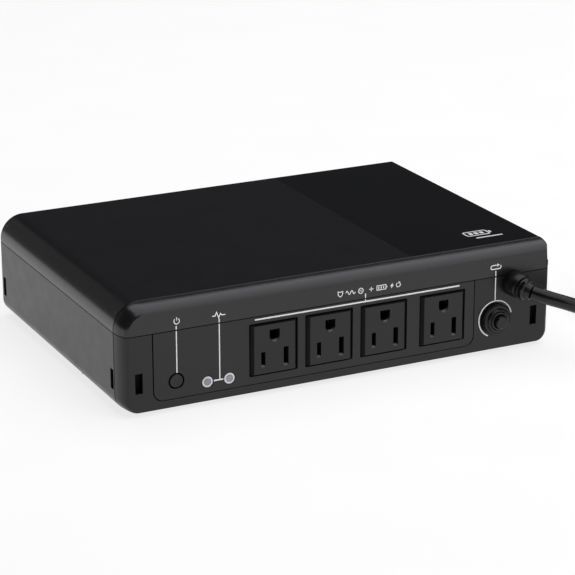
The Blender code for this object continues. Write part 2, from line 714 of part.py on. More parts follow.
def swept(points, radii, sides=16):
    """A round bar along points, with a radius at each of them."""
    rings = []
    for k, point in enumerate(points):
        ahead = points[min(k + 1, len(points) - 1)] - points[max(k - 1, 0)]
        forward = Vector(ahead).normalized()
        across = forward.cross(Vector((0, 0, 1))).normalized()
        rise = across.cross(forward)
        ring = []
        for n in range(sides):
            angle = math.tau * n / sides
            ring.append(Vector(point) + radii[k] * (across * math.cos(angle) + rise * math.sin(angle)))
        rings.append(ring)
    return loft(rings)


def make_strain_relief(looks):
    """Bush in the front wall: an inner grip, a round head, then a ribbed nose that bends with the cord."""
    profile = (
        (0.0, 6.6), (6.8, 6.6), (7.0, 5.1), (10.2, 5.1), (10.35, 7.0), (14.0, 7.0), (14.8, 6.6), (18.6, 6.3),
        (18.7, 5.6), (19.6, 5.6), (19.7, 6.0), (21.0, 5.8), (21.1, 5.1), (22.0, 5.1), (22.1, 5.5), (23.8, 5.0),
        (GLAND_LENGTH, 4.4),
    )
    fine = part_of_curve(CORD_ROUTE, 0.0, GLAND_LENGTH, 0.1)
    along = np.linspace(0.0, GLAND_LENGTH, len(fine))
    stations = [np.array([np.interp(at, along, fine[:, k]) for k in range(3)]) for at, _ in profile]
    bush = make_object(
        "strain_relief", swept(stations, [radius for _, radius in profile]),
        (GLAND[0], 0, GLAND[1]), looks["black_nylon"],
    )
    smooth(bush)


def make_cord(looks):
    start = GLAND_LENGTH + GAP
    lead = part_of_curve(CORD_ROUTE, start, 1000.0, CORD)
    # A short first stretch squares the tube's end up to the strain relief's.
    lead = np.insert(lead, 1, part_of_curve(CORD_ROUTE, start, start + 1.0, 1.0)[1], axis=0)
    tube("power_cord", lead, CORD, looks["cord_pvc"], 3)
    x, y = COIL
    low = -FOOT_HEIGHT + COIL_LIFT
    high = low + COIL_HIGH
    corner = 3.0
    section = [
        (COIL_IN, low + corner), (COIL_IN + corner, low), (COIL_OUT - corner, low), (COIL_OUT, low + corner),
        (COIL_OUT, high - corner), (COIL_OUT - corner, high), (COIL_IN + corner, high), (COIL_IN, high - corner),
    ]
    coil = make_object("cord_coil", turned(section, (x, y, 0), 36, "Z"), (x, y, low), looks["cord_pvc"])
    smooth(coil)
    tube("cord_tail", smooth_curve(TAIL_ROUTE, CORD), CORD, looks["cord_pvc"], 3)
    make_tie(looks, low, high)


def make_tie(looks, low, high):
    """A strap looped round the coil's turns at one place."""
    # The strap is straight and the turns curve away beside it, so it stands further off them inside.
    curve = COIL_IN - math.sqrt(COIL_IN ** 2 - (TIE_WIDE / 2) ** 2)
    inner = (COIL_IN - GAP - curve, low - GAP)
    outer = (COIL_OUT + GAP, high + GAP)
    hole = rounded_outline(inner, outer, (2.2,) * 4, 4)
    rim = rounded_outline(
        (inner[0] - TIE_THICK, inner[1] - TIE_THICK + 0.02), (outer[0] + TIE_THICK, outer[1] + TIE_THICK),
        (2.2 + TIE_THICK,) * 4, 4,
    )
    turn = Matrix.Rotation(math.radians(TIE_ANGLE), 4, "Z")
    place = Matrix.Translation((COIL[0], COIL[1], 0)) @ turn
    band = plate(rim, -TIE_WIDE / 2, TIE_WIDE / 2)
    bmesh.ops.transform(band, matrix=place, verts=band.verts[:])
    middle = place @ Vector(((COIL_IN + COIL_OUT) / 2, 0, low))
    tie = make_object("cord_tie", band, middle, looks["black_nylon"])
    space = plate(hole, -TIE_WIDE, TIE_WIDE)
    bmesh.ops.transform(space, matrix=place, verts=space.verts[:])
    cut(tie, space)
    smooth(tie)


def make_plug(looks):
    """A moulded three-pin plug lying flat, its blades away from the cord."""
    x, y, z = PLUG
    sections = (
        (0.0, 5.0, 5.0, 4.9), (8.0, 5.6, 5.6, 5.3), (16.0, 6.6, 6.4, 5.8), (20.0, 9.0, 8.6, 6.0), (26.0, 12.2, 11.2, 6.0),
        (32.0, PLUG_WIDE / 2, PLUG_HIGH / 2, 5.0), (PLUG_FACE - 1.5, PLUG_WIDE / 2, PLUG_HIGH / 2, 5.0),
        (PLUG_FACE, PLUG_WIDE / 2 - 1.2, PLUG_HIGH / 2 - 1.2, 4.0),
    )
    rings = []
    for out, wide, high, radius in sections:
        outline = rounded_outline((x - wide, z - high), (x + wide, z + high), (radius,) * 4, 5)
        rings.append([(a, y + out, b) for a, b in outline])
    body = make_object("plug_body", loft(rings), PLUG, looks["cord_pvc"])
    face = y + PLUG_FACE
    root = 4.0
    pockets = bmesh.new()
    for side in (-SLOT_OFF, SLOT_OFF):
        box(
            (x + side - 0.75 - GAP, face - root - GAP, PLUG_BLADES_Z - 3.2 - GAP),
            (x + side + 0.75 + GAP, face + 2, PLUG_BLADES_Z + 3.2 + GAP), pockets,
        )
    cut(body, pockets)
    ground_z = PLUG_BLADES_Z + GROUND_Z - SLOT_Z
    cut(body, rod(2.4 + GAP, (x, 0, ground_z), face - root - GAP, face + 2, 20))
    smooth(body)
    for name, side in (("plug_neutral_blade", -SLOT_OFF), ("plug_line_blade", SLOT_OFF)):
        blade = soft_box(
            (x + side - 0.75, face - root, PLUG_BLADES_Z - 3.2), (x + side + 0.75, face + BLADE_OUT, PLUG_BLADES_Z + 3.2), 0.35
        )
        make_object(name, blade, (x + side, face, PLUG_BLADES_Z), looks["nickel"])
    pin = [
        (0, face - root), (2.4, face - root), (2.4, face + BLADE_OUT + 2), (1.9, face + BLADE_OUT + 3.4),
        (1.0, face + BLADE_OUT + 4.2), (0, face + BLADE_OUT + 4.4),
    ]
    made = make_object("plug_ground_pin", turned(pin, (x, 0, ground_z), 20), (x, face, ground_z), looks["nickel"])
    smooth(made)


# --- battery, transformer and boards -----------------------------------------------------

def make_battery(looks):
    low, high = BATTERY
    body = make_object("battery", soft_box(low, high, 1.5, 2), (79, 115, low[2]), looks["battery_case"])
    # The block lies on its side: its terminals stand in two pockets of the right-hand end.
    pockets = bmesh.new()
    for y in (76.0, 154.0):
        box((high[0] - 3.0, y - 4.5, 18.0), (high[0] + 2, y + 4.5, 34.0), pockets)
    cut(body, pockets)
    smooth(body)
    for name, y in (("battery_terminal_positive", 76.0), ("battery_terminal_negative", 154.0)):
        tab = box((high[0] - 3.0 + GAP, y - 2.4, 24.0), (high[0] - 3.0 + GAP + 0.8, y + 2.4, 31.0))
        made = make_object(name, tab, (high[0], y, 24), looks["nickel"])
        add(made, box((high[0] - 2.6, y - 2.4, 30.2), (high[0] + 0.6, y + 2.4, 31.0)))
    pad = soft_box((36.0, 59.9, 8.0), (116.0, 63.7, 40.0), 0.8)
    make_object("battery_pad", pad, (76, 60, 24), looks["foam"])


def make_transformer(looks):
    low, high = CORE
    core = make_object("transformer_core", box(low, high), (194, 132, low[2]), looks["core_steel"])
    slots = bmesh.new()
    for x in (172.0, 205.0):
        box((x, low[1] - 2, 13.0), (x + 11.0, high[1] + 2, 41.5), slots)
    cut(core, slots)
    coil = make_object(
        "transformer_coil", soft_box((172.4, low[1] - 8.5, 13.4), (215.6, high[1] + 8.5, 41.1), 2.0, 2),
        (194, 132, 13.4), looks["coil_tape"],
    )
    cut(coil, box((182.6, low[1] - 0.4, 5), (205.4, high[1] + 0.4, 50)))
    smooth(coil)
    strap = make_object(
        "transformer_bracket", box((low[0] - 1.6, 122, 6.3), (high[0] + 1.6, 142, high[2] + 1.6)),
        (194, 132, 6.3), looks["steel"],
    )
    cut(strap, box((low[0] - 0.4, 110, 0), (high[0] + 0.4, 150, high[2] + 0.4)))
    ears = make_object("ears", box((152.4, 126, 6.3), (low[0] - 0.9, 138, 7.5)), (0, 0, 0))
    combine(strap, ears, "UNION")
    add(strap, box((high[0] + 0.9, 126, 6.3), (237.8, 138, 7.5)))
    for number, (x, y) in enumerate(BRACKET_BOSSES, 1):
        cut(strap, rod(1.7, (x, y, 0), 5, 9, 16, "Z"))
        make_screw(f"bracket_screw_{number}", x, y, 7.5 + GAP, looks)


def make_screw(name, x, y, seat, looks):
    """A pan-head screw down into a boss."""
    profile = [
        (0, 3.6), (1.2, 3.9), (1.2, seat), (2.7, seat), (2.7, seat + 0.8), (2.1, seat + 1.6), (0, seat + 1.9),
    ]
    screw = make_object(name, turned(profile, (x, y, 0), 12, "Z"), (x, y, seat), looks["steel"])
    smooth(screw)


def make_main_board(looks):
    low, high = BOARD
    board = make_object("main_board", box(low, high), (196, 69, low[2]), looks["board_laminate"])
    for number, (x, y) in enumerate(BOSSES, 1):
        cut(board, rod(1.7, (x, y, 0), 5, 9, 16, "Z"))
        make_screw(f"board_screw_{number}", x, y, high[2] + GAP, looks)
    seat = high[2] + GAP
    pieces = (
        ("relay", (168, 48, seat), (187, 63, seat + 15.5), "component_black"),
        ("filter_capacitor", (192, 47, seat), (218, 57, seat + 17), "component_yellow"),
    )
    for name, start, end, look in pieces:
        made = make_object(name, soft_box(start, end, 0.6), start, looks[look])
        smooth(made)
    can = [(0, seat), (7.6, seat), (8.0, seat + 0.6), (8.0, seat + 23.4), (7.6, seat + 24), (0, seat + 24)]
    made = make_object("bulk_capacitor", turned(can, (226, 76, 0), 20, "Z"), (226, 76, seat), looks["battery_case"])
    smooth(made)
    disc = [(0, seat), (6.0, seat), (6.0, seat + 7.6), (5.6, seat + 8.0), (1.2, seat + 8.0), (1.2, seat + 7.0), (0, seat + 7.0)]
    made = make_object("buzzer", turned(disc, (166, 80, 0), 20, "Z"), (166, 80, seat), looks["component_black"])
    smooth(made)
    sink = make_object("heatsink", box((178, 66, seat), (212, 69, seat + 26)), (195, 68, seat), looks["aluminium"])
    fins = bmesh.new()
    for k in range(6):
        x = 179.0 + 6.2 * k
        box((x - 0.6, 68.5, seat), (x + 0.8, 82, seat + 26), fins)
    add(sink, fins)


def make_wires(looks):
    """Leads along their own routes between the gland, the breaker, the board and the battery."""
    x, z = GLAND
    routes = (
        ("mains_lead_line", 2.4, "black_wire", (
            (x + 2.6, 10.6, z), (x + 2.8, 18, z + 1), (219.5, 30, 33), (216.4, 38, 26), (216.4, 41.5, 22), (216.4, 40, 17.4),
        )),
        ("mains_lead_neutral", 2.4, "white_wire", (
            (x - 2.6, 10.6, z), (x - 3, 20, z + 1.5), (216.5, 34, 35), (213, 44, 33), (208, 52.5, 29), (205.5, 53, 26.0),
        )),
        ("mains_lead_ground", 2.4, "green_wire", (
            (x, 10.6, z + 3.0), (x - 0.5, 18, z + 5), (218, 29, 41), (208, 31, 41.5), (199.4, 29.6, 37.5), (197.6, 27.6, 34.3),
        )),
        ("battery_lead_positive", 2.6, "red_wire", (
            (150.6, 76.0, 33.0), (152.6, 76.5, 34.0), (154.6, 77.3, 31), (156.4, 78.5, 22), (157.0, 79, 14), (157.0, 79, 9.8),
        )),
        ("battery_lead_negative", 2.6, "black_wire", (
            (150.6, 154.0, 33.0), (152.6, 152.0, 35.0), (155.0, 142, 37), (155.4, 120, 35), (155.8, 104, 26), (156.6, 92, 14.5),
            (157.0, 87.5, 9.8),
        )),
    )
    for name, diameter, look, route in routes:
        tube(name, smooth_curve(route, 5.0), diameter, looks[look], 2)


def build():
    for old in list(bpy.data.objects):
        bpy.data.objects.remove(old)
    looks = all_finishes()
    make_bottom_case(looks)
    make_top_cover(looks)
    make_feet(looks)
    make_front_panel(looks)
    make_outlets(looks)
    make_busbars(looks)
    make_power_button(looks)
    make_lights(looks)
    make_breaker(looks)
    make_strain_relief(looks)
    make_cord(looks)
    make_plug(looks)
    make_battery(looks)
    make_transformer(looks)
    make_main_board(looks)
    make_wires(looks)


build()
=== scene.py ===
"""The look of a small desktop uninterruptible power supply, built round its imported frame.

Bench lengths are millimetres: x runs right from the case's left side, y runs back from the
flat of its front, z runs up from its underside. place() turns a bench point into metres.
"""
from math import atan, atan2, cos, hypot, inf, pi, radians, sin, sqrt, tan, tau

import bmesh
import bpy
import numpy as np
from mathutils import Matrix, Vector


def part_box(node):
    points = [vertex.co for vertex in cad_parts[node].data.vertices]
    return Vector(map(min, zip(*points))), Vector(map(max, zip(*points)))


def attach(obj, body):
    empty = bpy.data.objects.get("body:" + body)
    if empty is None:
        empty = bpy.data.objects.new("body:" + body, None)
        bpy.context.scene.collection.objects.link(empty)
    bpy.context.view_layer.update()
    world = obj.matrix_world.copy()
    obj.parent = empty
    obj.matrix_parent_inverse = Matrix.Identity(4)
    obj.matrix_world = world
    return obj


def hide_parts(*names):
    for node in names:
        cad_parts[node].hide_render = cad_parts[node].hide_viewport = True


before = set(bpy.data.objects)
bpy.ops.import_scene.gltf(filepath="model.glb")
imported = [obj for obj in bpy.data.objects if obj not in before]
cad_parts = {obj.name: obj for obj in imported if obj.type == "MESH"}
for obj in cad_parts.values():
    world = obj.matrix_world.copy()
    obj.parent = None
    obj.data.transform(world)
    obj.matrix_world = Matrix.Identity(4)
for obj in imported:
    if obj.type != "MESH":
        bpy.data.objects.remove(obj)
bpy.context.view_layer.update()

MM = 0.001
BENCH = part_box("bottom_case")[0]


def place(point):
    """The frame's point, in metres, for a bench point."""
    return BENCH + Vector(point) * MM


def bench(point):
    """The bench point for a point of the frame."""
    return (point - BENCH) / MM


def bench_box(node):
    """A CAD node's lowest and highest corners on the bench."""
    low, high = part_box(node)
    return bench(low), bench(high)


def middle(node):
    low, high = bench_box(node)
    return (low + high) / 2


# Case
LENGTH = bench_box("bottom_case")[1].x
DEPTH = bench_box("bottom_case")[1].y
PRINT_PROUD = 0.05
HEIGHT = bench_box("top_cover")[1].z - PRINT_PROUD - 0.01    # leaves room for the print on top
SEAM_Z = bench_box("bottom_case")[1].z + 0.15
SEAM_GAP = 0.4
WALL = 2.4
FRONT_WALL = 2.6
FLOOR = 2.6
TOP_RADIUS = 13.0              # the top edge along the left side
RIGHT_RADIUS = 2.4             # and the tighter one along the right
RIGHT_LEAN = 0.9               # the right side leans in this much above the seam
BOTTOM_RADIUS = 7.4
BACK_ROUND = 1.6
GROOVE_Y = 9.8
GROOVE_WIDE = 1.1
GROOVE_DEEP = 0.4
POLISH_X = 166.0               # the cover is polished to the right of this line
GAP = 0.3
CORNER_STEPS = 20
RIM_LIFT = 0.5                 # the rim is nearly square along the underside
RIM = (                        # the front rim's section: depth, then how far it is pulled in
    (0.0, 4.3), (0.06, 4.0), (0.25, 3.6), (0.6, 3.1), (1.1, 2.62), (1.8, 2.12), (2.8, 1.6), (4.0, 1.14),
    (5.4, 0.72), (6.8, 0.4), (8.1, 0.18), (9.0, 0.07),
)

# Latch windows
WINDOW_Z = (10.4, 20.9)
FRONT_WINDOWS = (8.9, 234.5)
SIDE_WINDOWS = (12.95, 168.3)
WINDOW_WIDE = 4.0
TONGUE_WIDE = 3.2
TONGUE_THICK = 1.4

# Inside the shells
LIP_Z = (38.0, 42.0)           # the cover's lip, which reaches down into the case
SHELF_Z = (41.4, 44.4)         # and the shelf that it hangs from
LIP_THICK = 1.2
RIB_TOP = 30.0                 # ribs round the battery
RIB_THICK = 1.6
POST_RADIUS = 3.2              # screw posts
POST_BORE = 1.5
POST_TOP = 6.0
POST_BOTTOM = 3.2              # how deep their bores go
RECESS_RADIUS = 6.3            # shallow seats for the feet
VENTS = 6
VENT_X = 168.0
VENT_STEP = 8.0
VENT_WIDE = 2.4
VENT_Y = (101.0, 111.0)        # the floor's vents run front to back,
VENT_Z = (14.0, 30.0)          # and the back's up and down

# Front panel
PANEL_X = (16.4, 198.4)
PANEL_Z = 4.4
PANEL_RADIUS = 5.6
PANEL_THICK = 2.5
PANEL_GAP = 0.4
FLANGE_TOP = 37.4
OUTLET_X = [middle(f"outlet_{number}").x for number in (1, 2, 3, 4)]
OUTLET_Z = middle("outlet_1").z
OUTLET_OPENING = (26.5, 27.4)
OUTLET_PROUD = 1.2
OUTLET_BACK = 22.0
OUTLET_FACE = 22.7
SLOT_OFF = 6.35
SLOT_Z = 18.0
LINE_SLOT = (1.8, 6.9)
NEUTRAL_SLOT = (2.2, 8.9)
LIP_DROP = 0.9                 # how far an opening's mouth slopes down below it
GROUND_Z = 29.9
GROUND_RADIUS = 2.7
BUTTON = (middle("power_button").x, middle("power_button").z)
BUTTON_RADIUS = 3.55
BUTTON_HOLE = 4.2
LENSES = [(middle(node).x, middle(node).z) for node in ("status_lens_left", "status_lens_right")]
LENS_RADIUS = 2.9

# Reset breaker
BREAKER = (middle("breaker_nut").x, middle("breaker_nut").z)
NECK_RADIUS = 4.8
NUT_RADIUS = 8.5
NUT_TEETH = 48
RESET_RADIUS = 3.4
RESET_REACH = 7.6

# Cord
GLAND = (222.0, 35.4)
GLAND_HOLE = 5.4
CORD = 7.5
GLAND_LENGTH = 24.4
CORD_ROUTE = (
    (222.0, 10.0, 35.4), (222.0, 4.0, 35.4), (222.0, -2.0, 35.4), (222.2, -7.0, 35.2),
    (223.2, -11.2, 34.5), (226.4, -15.9, 33.2), (231.9, -20.6, 31.5), (238.6, -24.4, 29.3),
    (246.4, -27.0, 26.3), (254.8, -28.0, 22.7), (263.4, -28.0, 18.7), (272.0, -28.0, 14.6),
    (281.0, -28.0, 10.7), (290.0, -28.0, 7.5), (300.0, -28.0, 4.9), (309.0, -28.0, 3.6),
)
COIL = (middle("cord_coil").x, middle("cord_coil").y)
TAIL_ROUTE = (
    (392.5, 19.0, 1.7), (392.5, 24.0, 1.7), (392.5, 30.0, 2.1), (392.5, 36.0, 3.4),
    (392.5, 42.0, 5.75), (392.5, 48.0, 8.1), (392.5, 54.0, 9.45), (392.5, 60.0, 9.9), (392.5, 62.0, 9.9),
)
PLUG = (392.5, 62.3, 9.9)
PLUG_WIDE = 27.0
PLUG_HIGH = 23.8
PLUG_BLADES_Z = 4.1
PLUG_FACE = 50.0
BLADE_OUT = 16.0


# --- materials ---

LOOKS = {}


def fill(tree, node, **values):
    """Set a node's inputs: a socket is linked, anything else becomes the input's own value."""
    for key, value in values.items():
        socket = node.inputs[key.replace("_", " ")]
        if isinstance(value, bpy.types.NodeSocket):
            tree.links.new(value, socket)
        else:
            socket.default_value = value


def add_node(tree, kind, settings=None, **values):
    """A shader node with its settings and its inputs."""
    made = tree.nodes.new("ShaderNode" + kind)
    for key, value in (settings or {}).items():
        setattr(made, key, value)
    fill(tree, made, **values)
    return made


def new_look(name, **sockets):
    """A Principled material, kept in LOOKS; sockets are its uniform values."""
    made = bpy.data.materials.new(name)
    made.use_nodes = True
    shader = made.node_tree.nodes["Principled BSDF"]
    fill(made.node_tree, shader, **sockets)
    LOOKS[name] = made
    return made.node_tree, shader


def finish_look(tree, shader, colour, rough, relief, depth):
    """Connect a look's colour, its roughness, and a relief whose depth is in millimetres."""
    lifted = add_node(tree, "Bump", Strength=1.0, Distance=depth * MM, Height=relief)
    fill(tree, shader, Base_Color=colour, Roughness=rough, Normal=lifted.outputs["Normal"])


def coordinates(tree, stretch=(1, 1, 1)):
    """Object coordinates, in metres, squeezed per axis."""
    source = add_node(tree, "TexCoord").outputs["Object"]
    return add_node(tree, "Mapping", Scale=stretch, Vector=source).outputs["Vector"]


def noise(tree, vector, size, detail=2.0, roughness=0.5):
    """Noise whose blotches are about size millimetres."""
    scale = 1 / (size * MM)
    made = add_node(tree, "TexNoise", Vector=vector, Scale=scale, Detail=detail, Roughness=roughness)
    return made.outputs["Fac"]


def between(tree, value, low, high, start=0.3, end=0.7):
    """A value remapped from start..end to low..high."""
    made = add_node(tree, "MapRange", From_Min=start, From_Max=end, To_Min=low, To_Max=high, Value=value)
    return made.outputs["Result"]


def shades(tree, value, *stops):
    """A colour ramp through (position, colour) stops."""
    made = add_node(tree, "ValToRGB", Fac=value)
    ramp = made.color_ramp
    while len(ramp.elements) < len(stops):
        ramp.elements.new(1.0)
    for element, (position, colour) in zip(ramp.elements, stops):
        element.position = position
        element.color = (*colour, 1.0)
    return made.outputs["Color"]


def tint(colour, factor):
    return tuple(channel * factor for channel in colour)


def plastic(name, colour, rough, grain=0.35, depth=0.012, mottle=0.12, specular=0.5, **sockets):
    """Moulded plastic: fine tool grain, soft mottling and a roughness that wanders a little."""
    tree, shader = new_look(name, Specular_IOR_Level=specular, **sockets)
    vector = coordinates(tree)
    stops = ((0.3, tint(colour, 1 - mottle)), (0.7, tint(colour, 1 + mottle)))
    mottled = shades(tree, noise(tree, vector, 28.0, 3.0), *stops)
    wandering = between(tree, noise(tree, vector, 9.0, 4.0, 0.6), *rough)
    finish_look(tree, shader, mottled, wandering, noise(tree, vector, grain, 3.0, 0.6), depth)


def brushed(name, colour, rough, direction=(40, 1, 1)):
    """Metal with fine lines along one axis."""
    tree, shader = new_look(name, Metallic=1.0)
    lines = noise(tree, coordinates(tree, direction), 3.0, 4.0, 0.65)
    stops = ((0.3, tint(colour, 0.82)), (0.7, tint(colour, 1.08)))
    finish_look(tree, shader, shades(tree, lines, *stops), between(tree, lines, *rough), lines, 0.01)


def banded(name, colours, spacing, axis, rough, depth, **sockets):
    """Bands across one axis, as in laminations or wound tape."""
    tree, shader = new_look(name, **sockets)
    vector = coordinates(tree)
    settings = {"wave_type": "BANDS", "bands_direction": axis, "wave_profile": "SIN"}
    scale = pi / 10 / (spacing * MM)
    wave = add_node(tree, "TexWave", settings, Vector=vector, Scale=scale, Distortion=0.6, Detail=2.0)
    bands = wave.outputs["Fac"]
    colour = shades(tree, bands, (0.2, colours[0]), (0.8, colours[1]))
    finish_look(tree, shader, colour, between(tree, noise(tree, vector, 3.0, 3.0), *rough), bands, depth)


def board_look():
    """Green solder mask over copper tracks, with tinned pads."""
    tree, shader = new_look("board_laminate", Specular_IOR_Level=0.5)
    vector = coordinates(tree)
    settings = {"distance": "MANHATTAN", "feature": "DISTANCE_TO_EDGE"}
    cells = add_node(tree, "TexVoronoi", settings, Vector=vector, Scale=220.0).outputs["Distance"]
    pads = add_node(tree, "TexVoronoi", Vector=vector, Scale=330.0).outputs["Distance"]
    mix = add_node(tree, "Mix", {"data_type": "RGBA"}, Factor=between(tree, pads, 1.0, 0.0, 0.1, 0.14))
    tracks = shades(tree, cells, (0.03, (0.05, 0.22, 0.07)), (0.06, (0.02, 0.13, 0.05)))
    tree.links.new(tracks, mix.inputs[6])
    mix.inputs[7].default_value = (0.55, 0.56, 0.55, 1.0)
    finish_look(tree, shader, mix.outputs[2], between(tree, pads, 0.25, 0.42, 0.1, 0.5), cells, 0.05)


def foam_look():
    """Open-cell foam."""
    tree, shader = new_look("foam", Sheen_Weight=0.2)
    cells = add_node(tree, "TexVoronoi", Vector=coordinates(tree), Scale=1400.0).outputs["Distance"]
    colour = shades(tree, cells, (0.1, (0.012, 0.012, 0.013)), (0.8, (0.05, 0.05, 0.052)))
    finish_look(tree, shader, colour, between(tree, cells, 0.8, 1.0, 0.0, 0.6), cells, 0.35)


def make_looks():
    plastic("cover_satin", (0.0088, 0.0086, 0.009), (0.2, 0.25), 0.4, 0.006)
    plastic("cover_polished", (0.0028, 0.0027, 0.0031), (0.05, 0.09), 3.0, 0.002)
    plastic("case_plastic", (0.0098, 0.0091, 0.0091), (0.28, 0.35), 0.35, 0.008, specular=0.38)
    plastic("panel_plastic", (0.0112, 0.0101, 0.0101), (0.34, 0.42), 0.35, 0.01, specular=0.41)
    plastic("outlet_plastic", (0.0098, 0.0091, 0.0089), (0.3, 0.38), 0.5, 0.008, specular=0.37)
    # black clip plastic, darkened further with painted shade so the latch windows read dark
    plastic("clip_plastic_and_shade", (0.0012, 0.0012, 0.0012), (0.6, 0.75), 0.4, 0.02, specular=0.08)
    # painted highlight: the lower lip of each opening gets a lighter base colour, so that it glints
    plastic("outlet_lip_painted_highlight", (0.045, 0.043, 0.042), (0.2, 0.3), 0.3, 0.004)
    # painted shade: the slopes beside each outlet face get a darker base colour
    plastic("outlet_slope_painted_shade", (0.006, 0.0056, 0.0056), (0.45, 0.6), 0.4, 0.02, specular=0.12)
    plastic("button_plastic", (0.0095, 0.009, 0.009), (0.34, 0.42), 0.3, 0.01, specular=0.41)
    plastic(
        "lens_plastic", (0.3, 0.285, 0.32), (0.28, 0.4), 0.5, 0.03, 0.06,
        Subsurface_Weight=0.25, Subsurface_Scale=0.002, Coat_Weight=0.3, Coat_Roughness=0.1,
    )
    plastic("lens_ring", (0.72, 0.72, 0.77), (0.35, 0.45), 0.5, 0.02, 0.04)
    plastic("white_print", (0.93, 0.93, 0.92), (0.45, 0.6), 0.3, 0.01, 0.03)
    plastic("black_nylon", (0.006, 0.0058, 0.0063), (0.3, 0.4), 0.5, 0.015, specular=0.38)
    plastic("cord_pvc", (0.0032, 0.0032, 0.0034), (0.24, 0.32), 1.2, 0.015, specular=0.36)
    plastic("rubber", (0.014, 0.014, 0.014), (0.7, 0.85), 0.5, 0.04)
    brushed("brass", (0.62, 0.43, 0.16), (0.22, 0.4))
    brushed("nickel", (0.62, 0.6, 0.56), (0.16, 0.32), (1, 40, 1))
    brushed("steel", (0.45, 0.45, 0.46), (0.28, 0.45))
    brushed("aluminium", (0.7, 0.71, 0.72), (0.3, 0.48), (1, 1, 40))
    banded("core_steel", ((0.05, 0.05, 0.055), (0.2, 0.2, 0.21)), 1.0, "Y", (0.4, 0.6), 0.08, Metallic=1.0)
    banded("coil_tape", ((0.42, 0.32, 0.05), (0.66, 0.52, 0.1)), 9.0, "Z", (0.3, 0.45), 0.1)
    board_look()
    plastic("battery_case", (0.055, 0.06, 0.066), (0.38, 0.5), 0.6, 0.02)
    foam_look()
    plastic("component_black", (0.014, 0.014, 0.015), (0.34, 0.46), 0.4, 0.015)
    plastic("component_yellow", (0.62, 0.42, 0.05), (0.3, 0.42), 0.8, 0.02)
    plastic("led_resin", (0.7, 0.72, 0.7), (0.08, 0.14), 1.5, 0.01, 0.04, Transmission_Weight=0.7, IOR=1.5)
    wires = {
        "red": (0.45, 0.02, 0.02), "black": (0.015, 0.015, 0.015), "white": (0.74, 0.74, 0.72),
        "green": (0.03, 0.28, 0.07),
    }
    for name, colour in wires.items():
        plastic(f"{name}_wire", colour, (0.32, 0.42), 0.8, 0.02)


SCREWS = (*(f"board_screw_{number}" for number in (1, 2, 3, 4)), "bracket_screw_1", "bracket_screw_2")
CARRIED_OVER = {
    "brass": ("line_busbar", "neutral_busbar", "ground_busbar"),
    "black_nylon": ("outlet_rear_cover",),
    "button_plastic": ("switch_plunger",),
    "component_black": ("power_switch", "relay", "buzzer"),
    "led_resin": ("status_led_left", "status_led_right"),
    "board_laminate": ("indicator_board", "main_board"),
    "steel": (*SCREWS, "transformer_bracket"),
    "component_yellow": ("filter_capacitor",),
    "battery_case": ("bulk_capacitor", "battery"),
    "aluminium": ("heatsink",),
    "core_steel": ("transformer_core",),
    "coil_tape": ("transformer_coil",),
    "nickel": ("battery_terminal_positive", "battery_terminal_negative"),
    "red_wire": ("battery_lead_positive",),
    "black_wire": ("battery_lead_negative", "mains_lead_line"),
    "white_wire": ("mains_lead_neutral",),
    "green_wire": ("mains_lead_ground",),
    "foam": ("battery_pad",),
}


def dress_carried_over():
    """CAD nodes that keep their shape get their finish."""
    for look, nodes in CARRIED_OVER.items():
        for node in nodes:
            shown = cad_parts[node]
            shown.data.materials.clear()
            shown.data.materials.append(LOOKS[look])


# --- meshes on the bench ---

def link_new(name, data):
    made = bpy.data.objects.new(name, data)
    bpy.context.scene.collection.objects.link(made)
    return made


def to_object(name, bm, look="case_plastic"):
    """Turn a bench mesh into an object in the frame, its origin at the frame's."""
    bmesh.ops.recalc_face_normals(bm, faces=bm.faces)
    bmesh.ops.scale(bm, verts=bm.verts, vec=(MM, MM, MM))
    bmesh.ops.translate(bm, verts=bm.verts, vec=BENCH)
    mesh = bpy.data.meshes.new(name)
    bm.to_mesh(mesh)
    bm.free()
    mesh.materials.append(LOOKS[look])
    return link_new(name, mesh)


def hand_over(made, *nodes, slot=None, body="case", sharp=34):
    """Shade a finished piece, hang it on the body it rides on, and hide the CAD nodes it stands for."""
    made.data.shade_smooth()
    made.data.set_sharp_from_angle(angle=radians(sharp))
    even = made.modifiers.new("even shading", "WEIGHTED_NORMAL")
    even.keep_sharp = True
    even.weight = 80
    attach(made, body)
    if nodes:
        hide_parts(*nodes)
    return made


def piece(name, bm, look, *nodes, **options):
    """A piece that is finished as soon as its mesh is."""
    return hand_over(to_object(name, bm, look), *nodes, **options)


def combine(target, tool, operation):
    """Apply one Boolean to target and delete the tool."""
    bpy.context.view_layer.update()
    modifier = target.modifiers.new("shape", "BOOLEAN")
    modifier.operation = operation
    modifier.solver = "EXACT"
    modifier.object = tool
    graph = bpy.context.evaluated_depsgraph_get()
    shaped = bpy.data.meshes.new_from_object(target.evaluated_get(graph))
    shaped.name = target.name
    target.modifiers.clear()
    target.data = shaped
    bpy.data.objects.remove(tool)


def cut(target, bm):
    combine(target, to_object("cutter", bm), "DIFFERENCE")


def add(target, bm):
    combine(target, to_object("addition", bm), "UNION")


def keep_inside(target, bm):
    combine(target, to_object("limit", bm), "INTERSECT")


def soften(target, width, chosen, steps=2):
    """Round off the sharp edges whose bench middle is among the chosen."""
    bm = bmesh.new()
    bm.from_mesh(target.data)
    edges = []
    for edge in bm.edges:
        if len(edge.link_faces) != 2 or edge.calc_face_angle() < radians(40):
            continue
        ends = [bench(vert.co) for vert in edge.verts]
        if chosen((ends[0] + ends[1]) / 2):
            edges.append(edge)
    bmesh.ops.bevel(
        bm, geom=edges, offset=width * MM, segments=steps, profile=0.5, affect="EDGES", clamp_overlap=True
    )
    bm.to_mesh(target.data)
    bm.free()


def box(low, high, bm=None):
    """A box between two corners, in a new mesh or added to one."""
    if bm is None:
        bm = bmesh.new()
    low = Vector(low)
    high = Vector(high)
    spot = Matrix.Translation((low + high) / 2) @ Matrix.Diagonal((*(high - low), 1.0))
    bmesh.ops.create_cube(bm, size=1.0, matrix=spot)
    return bm


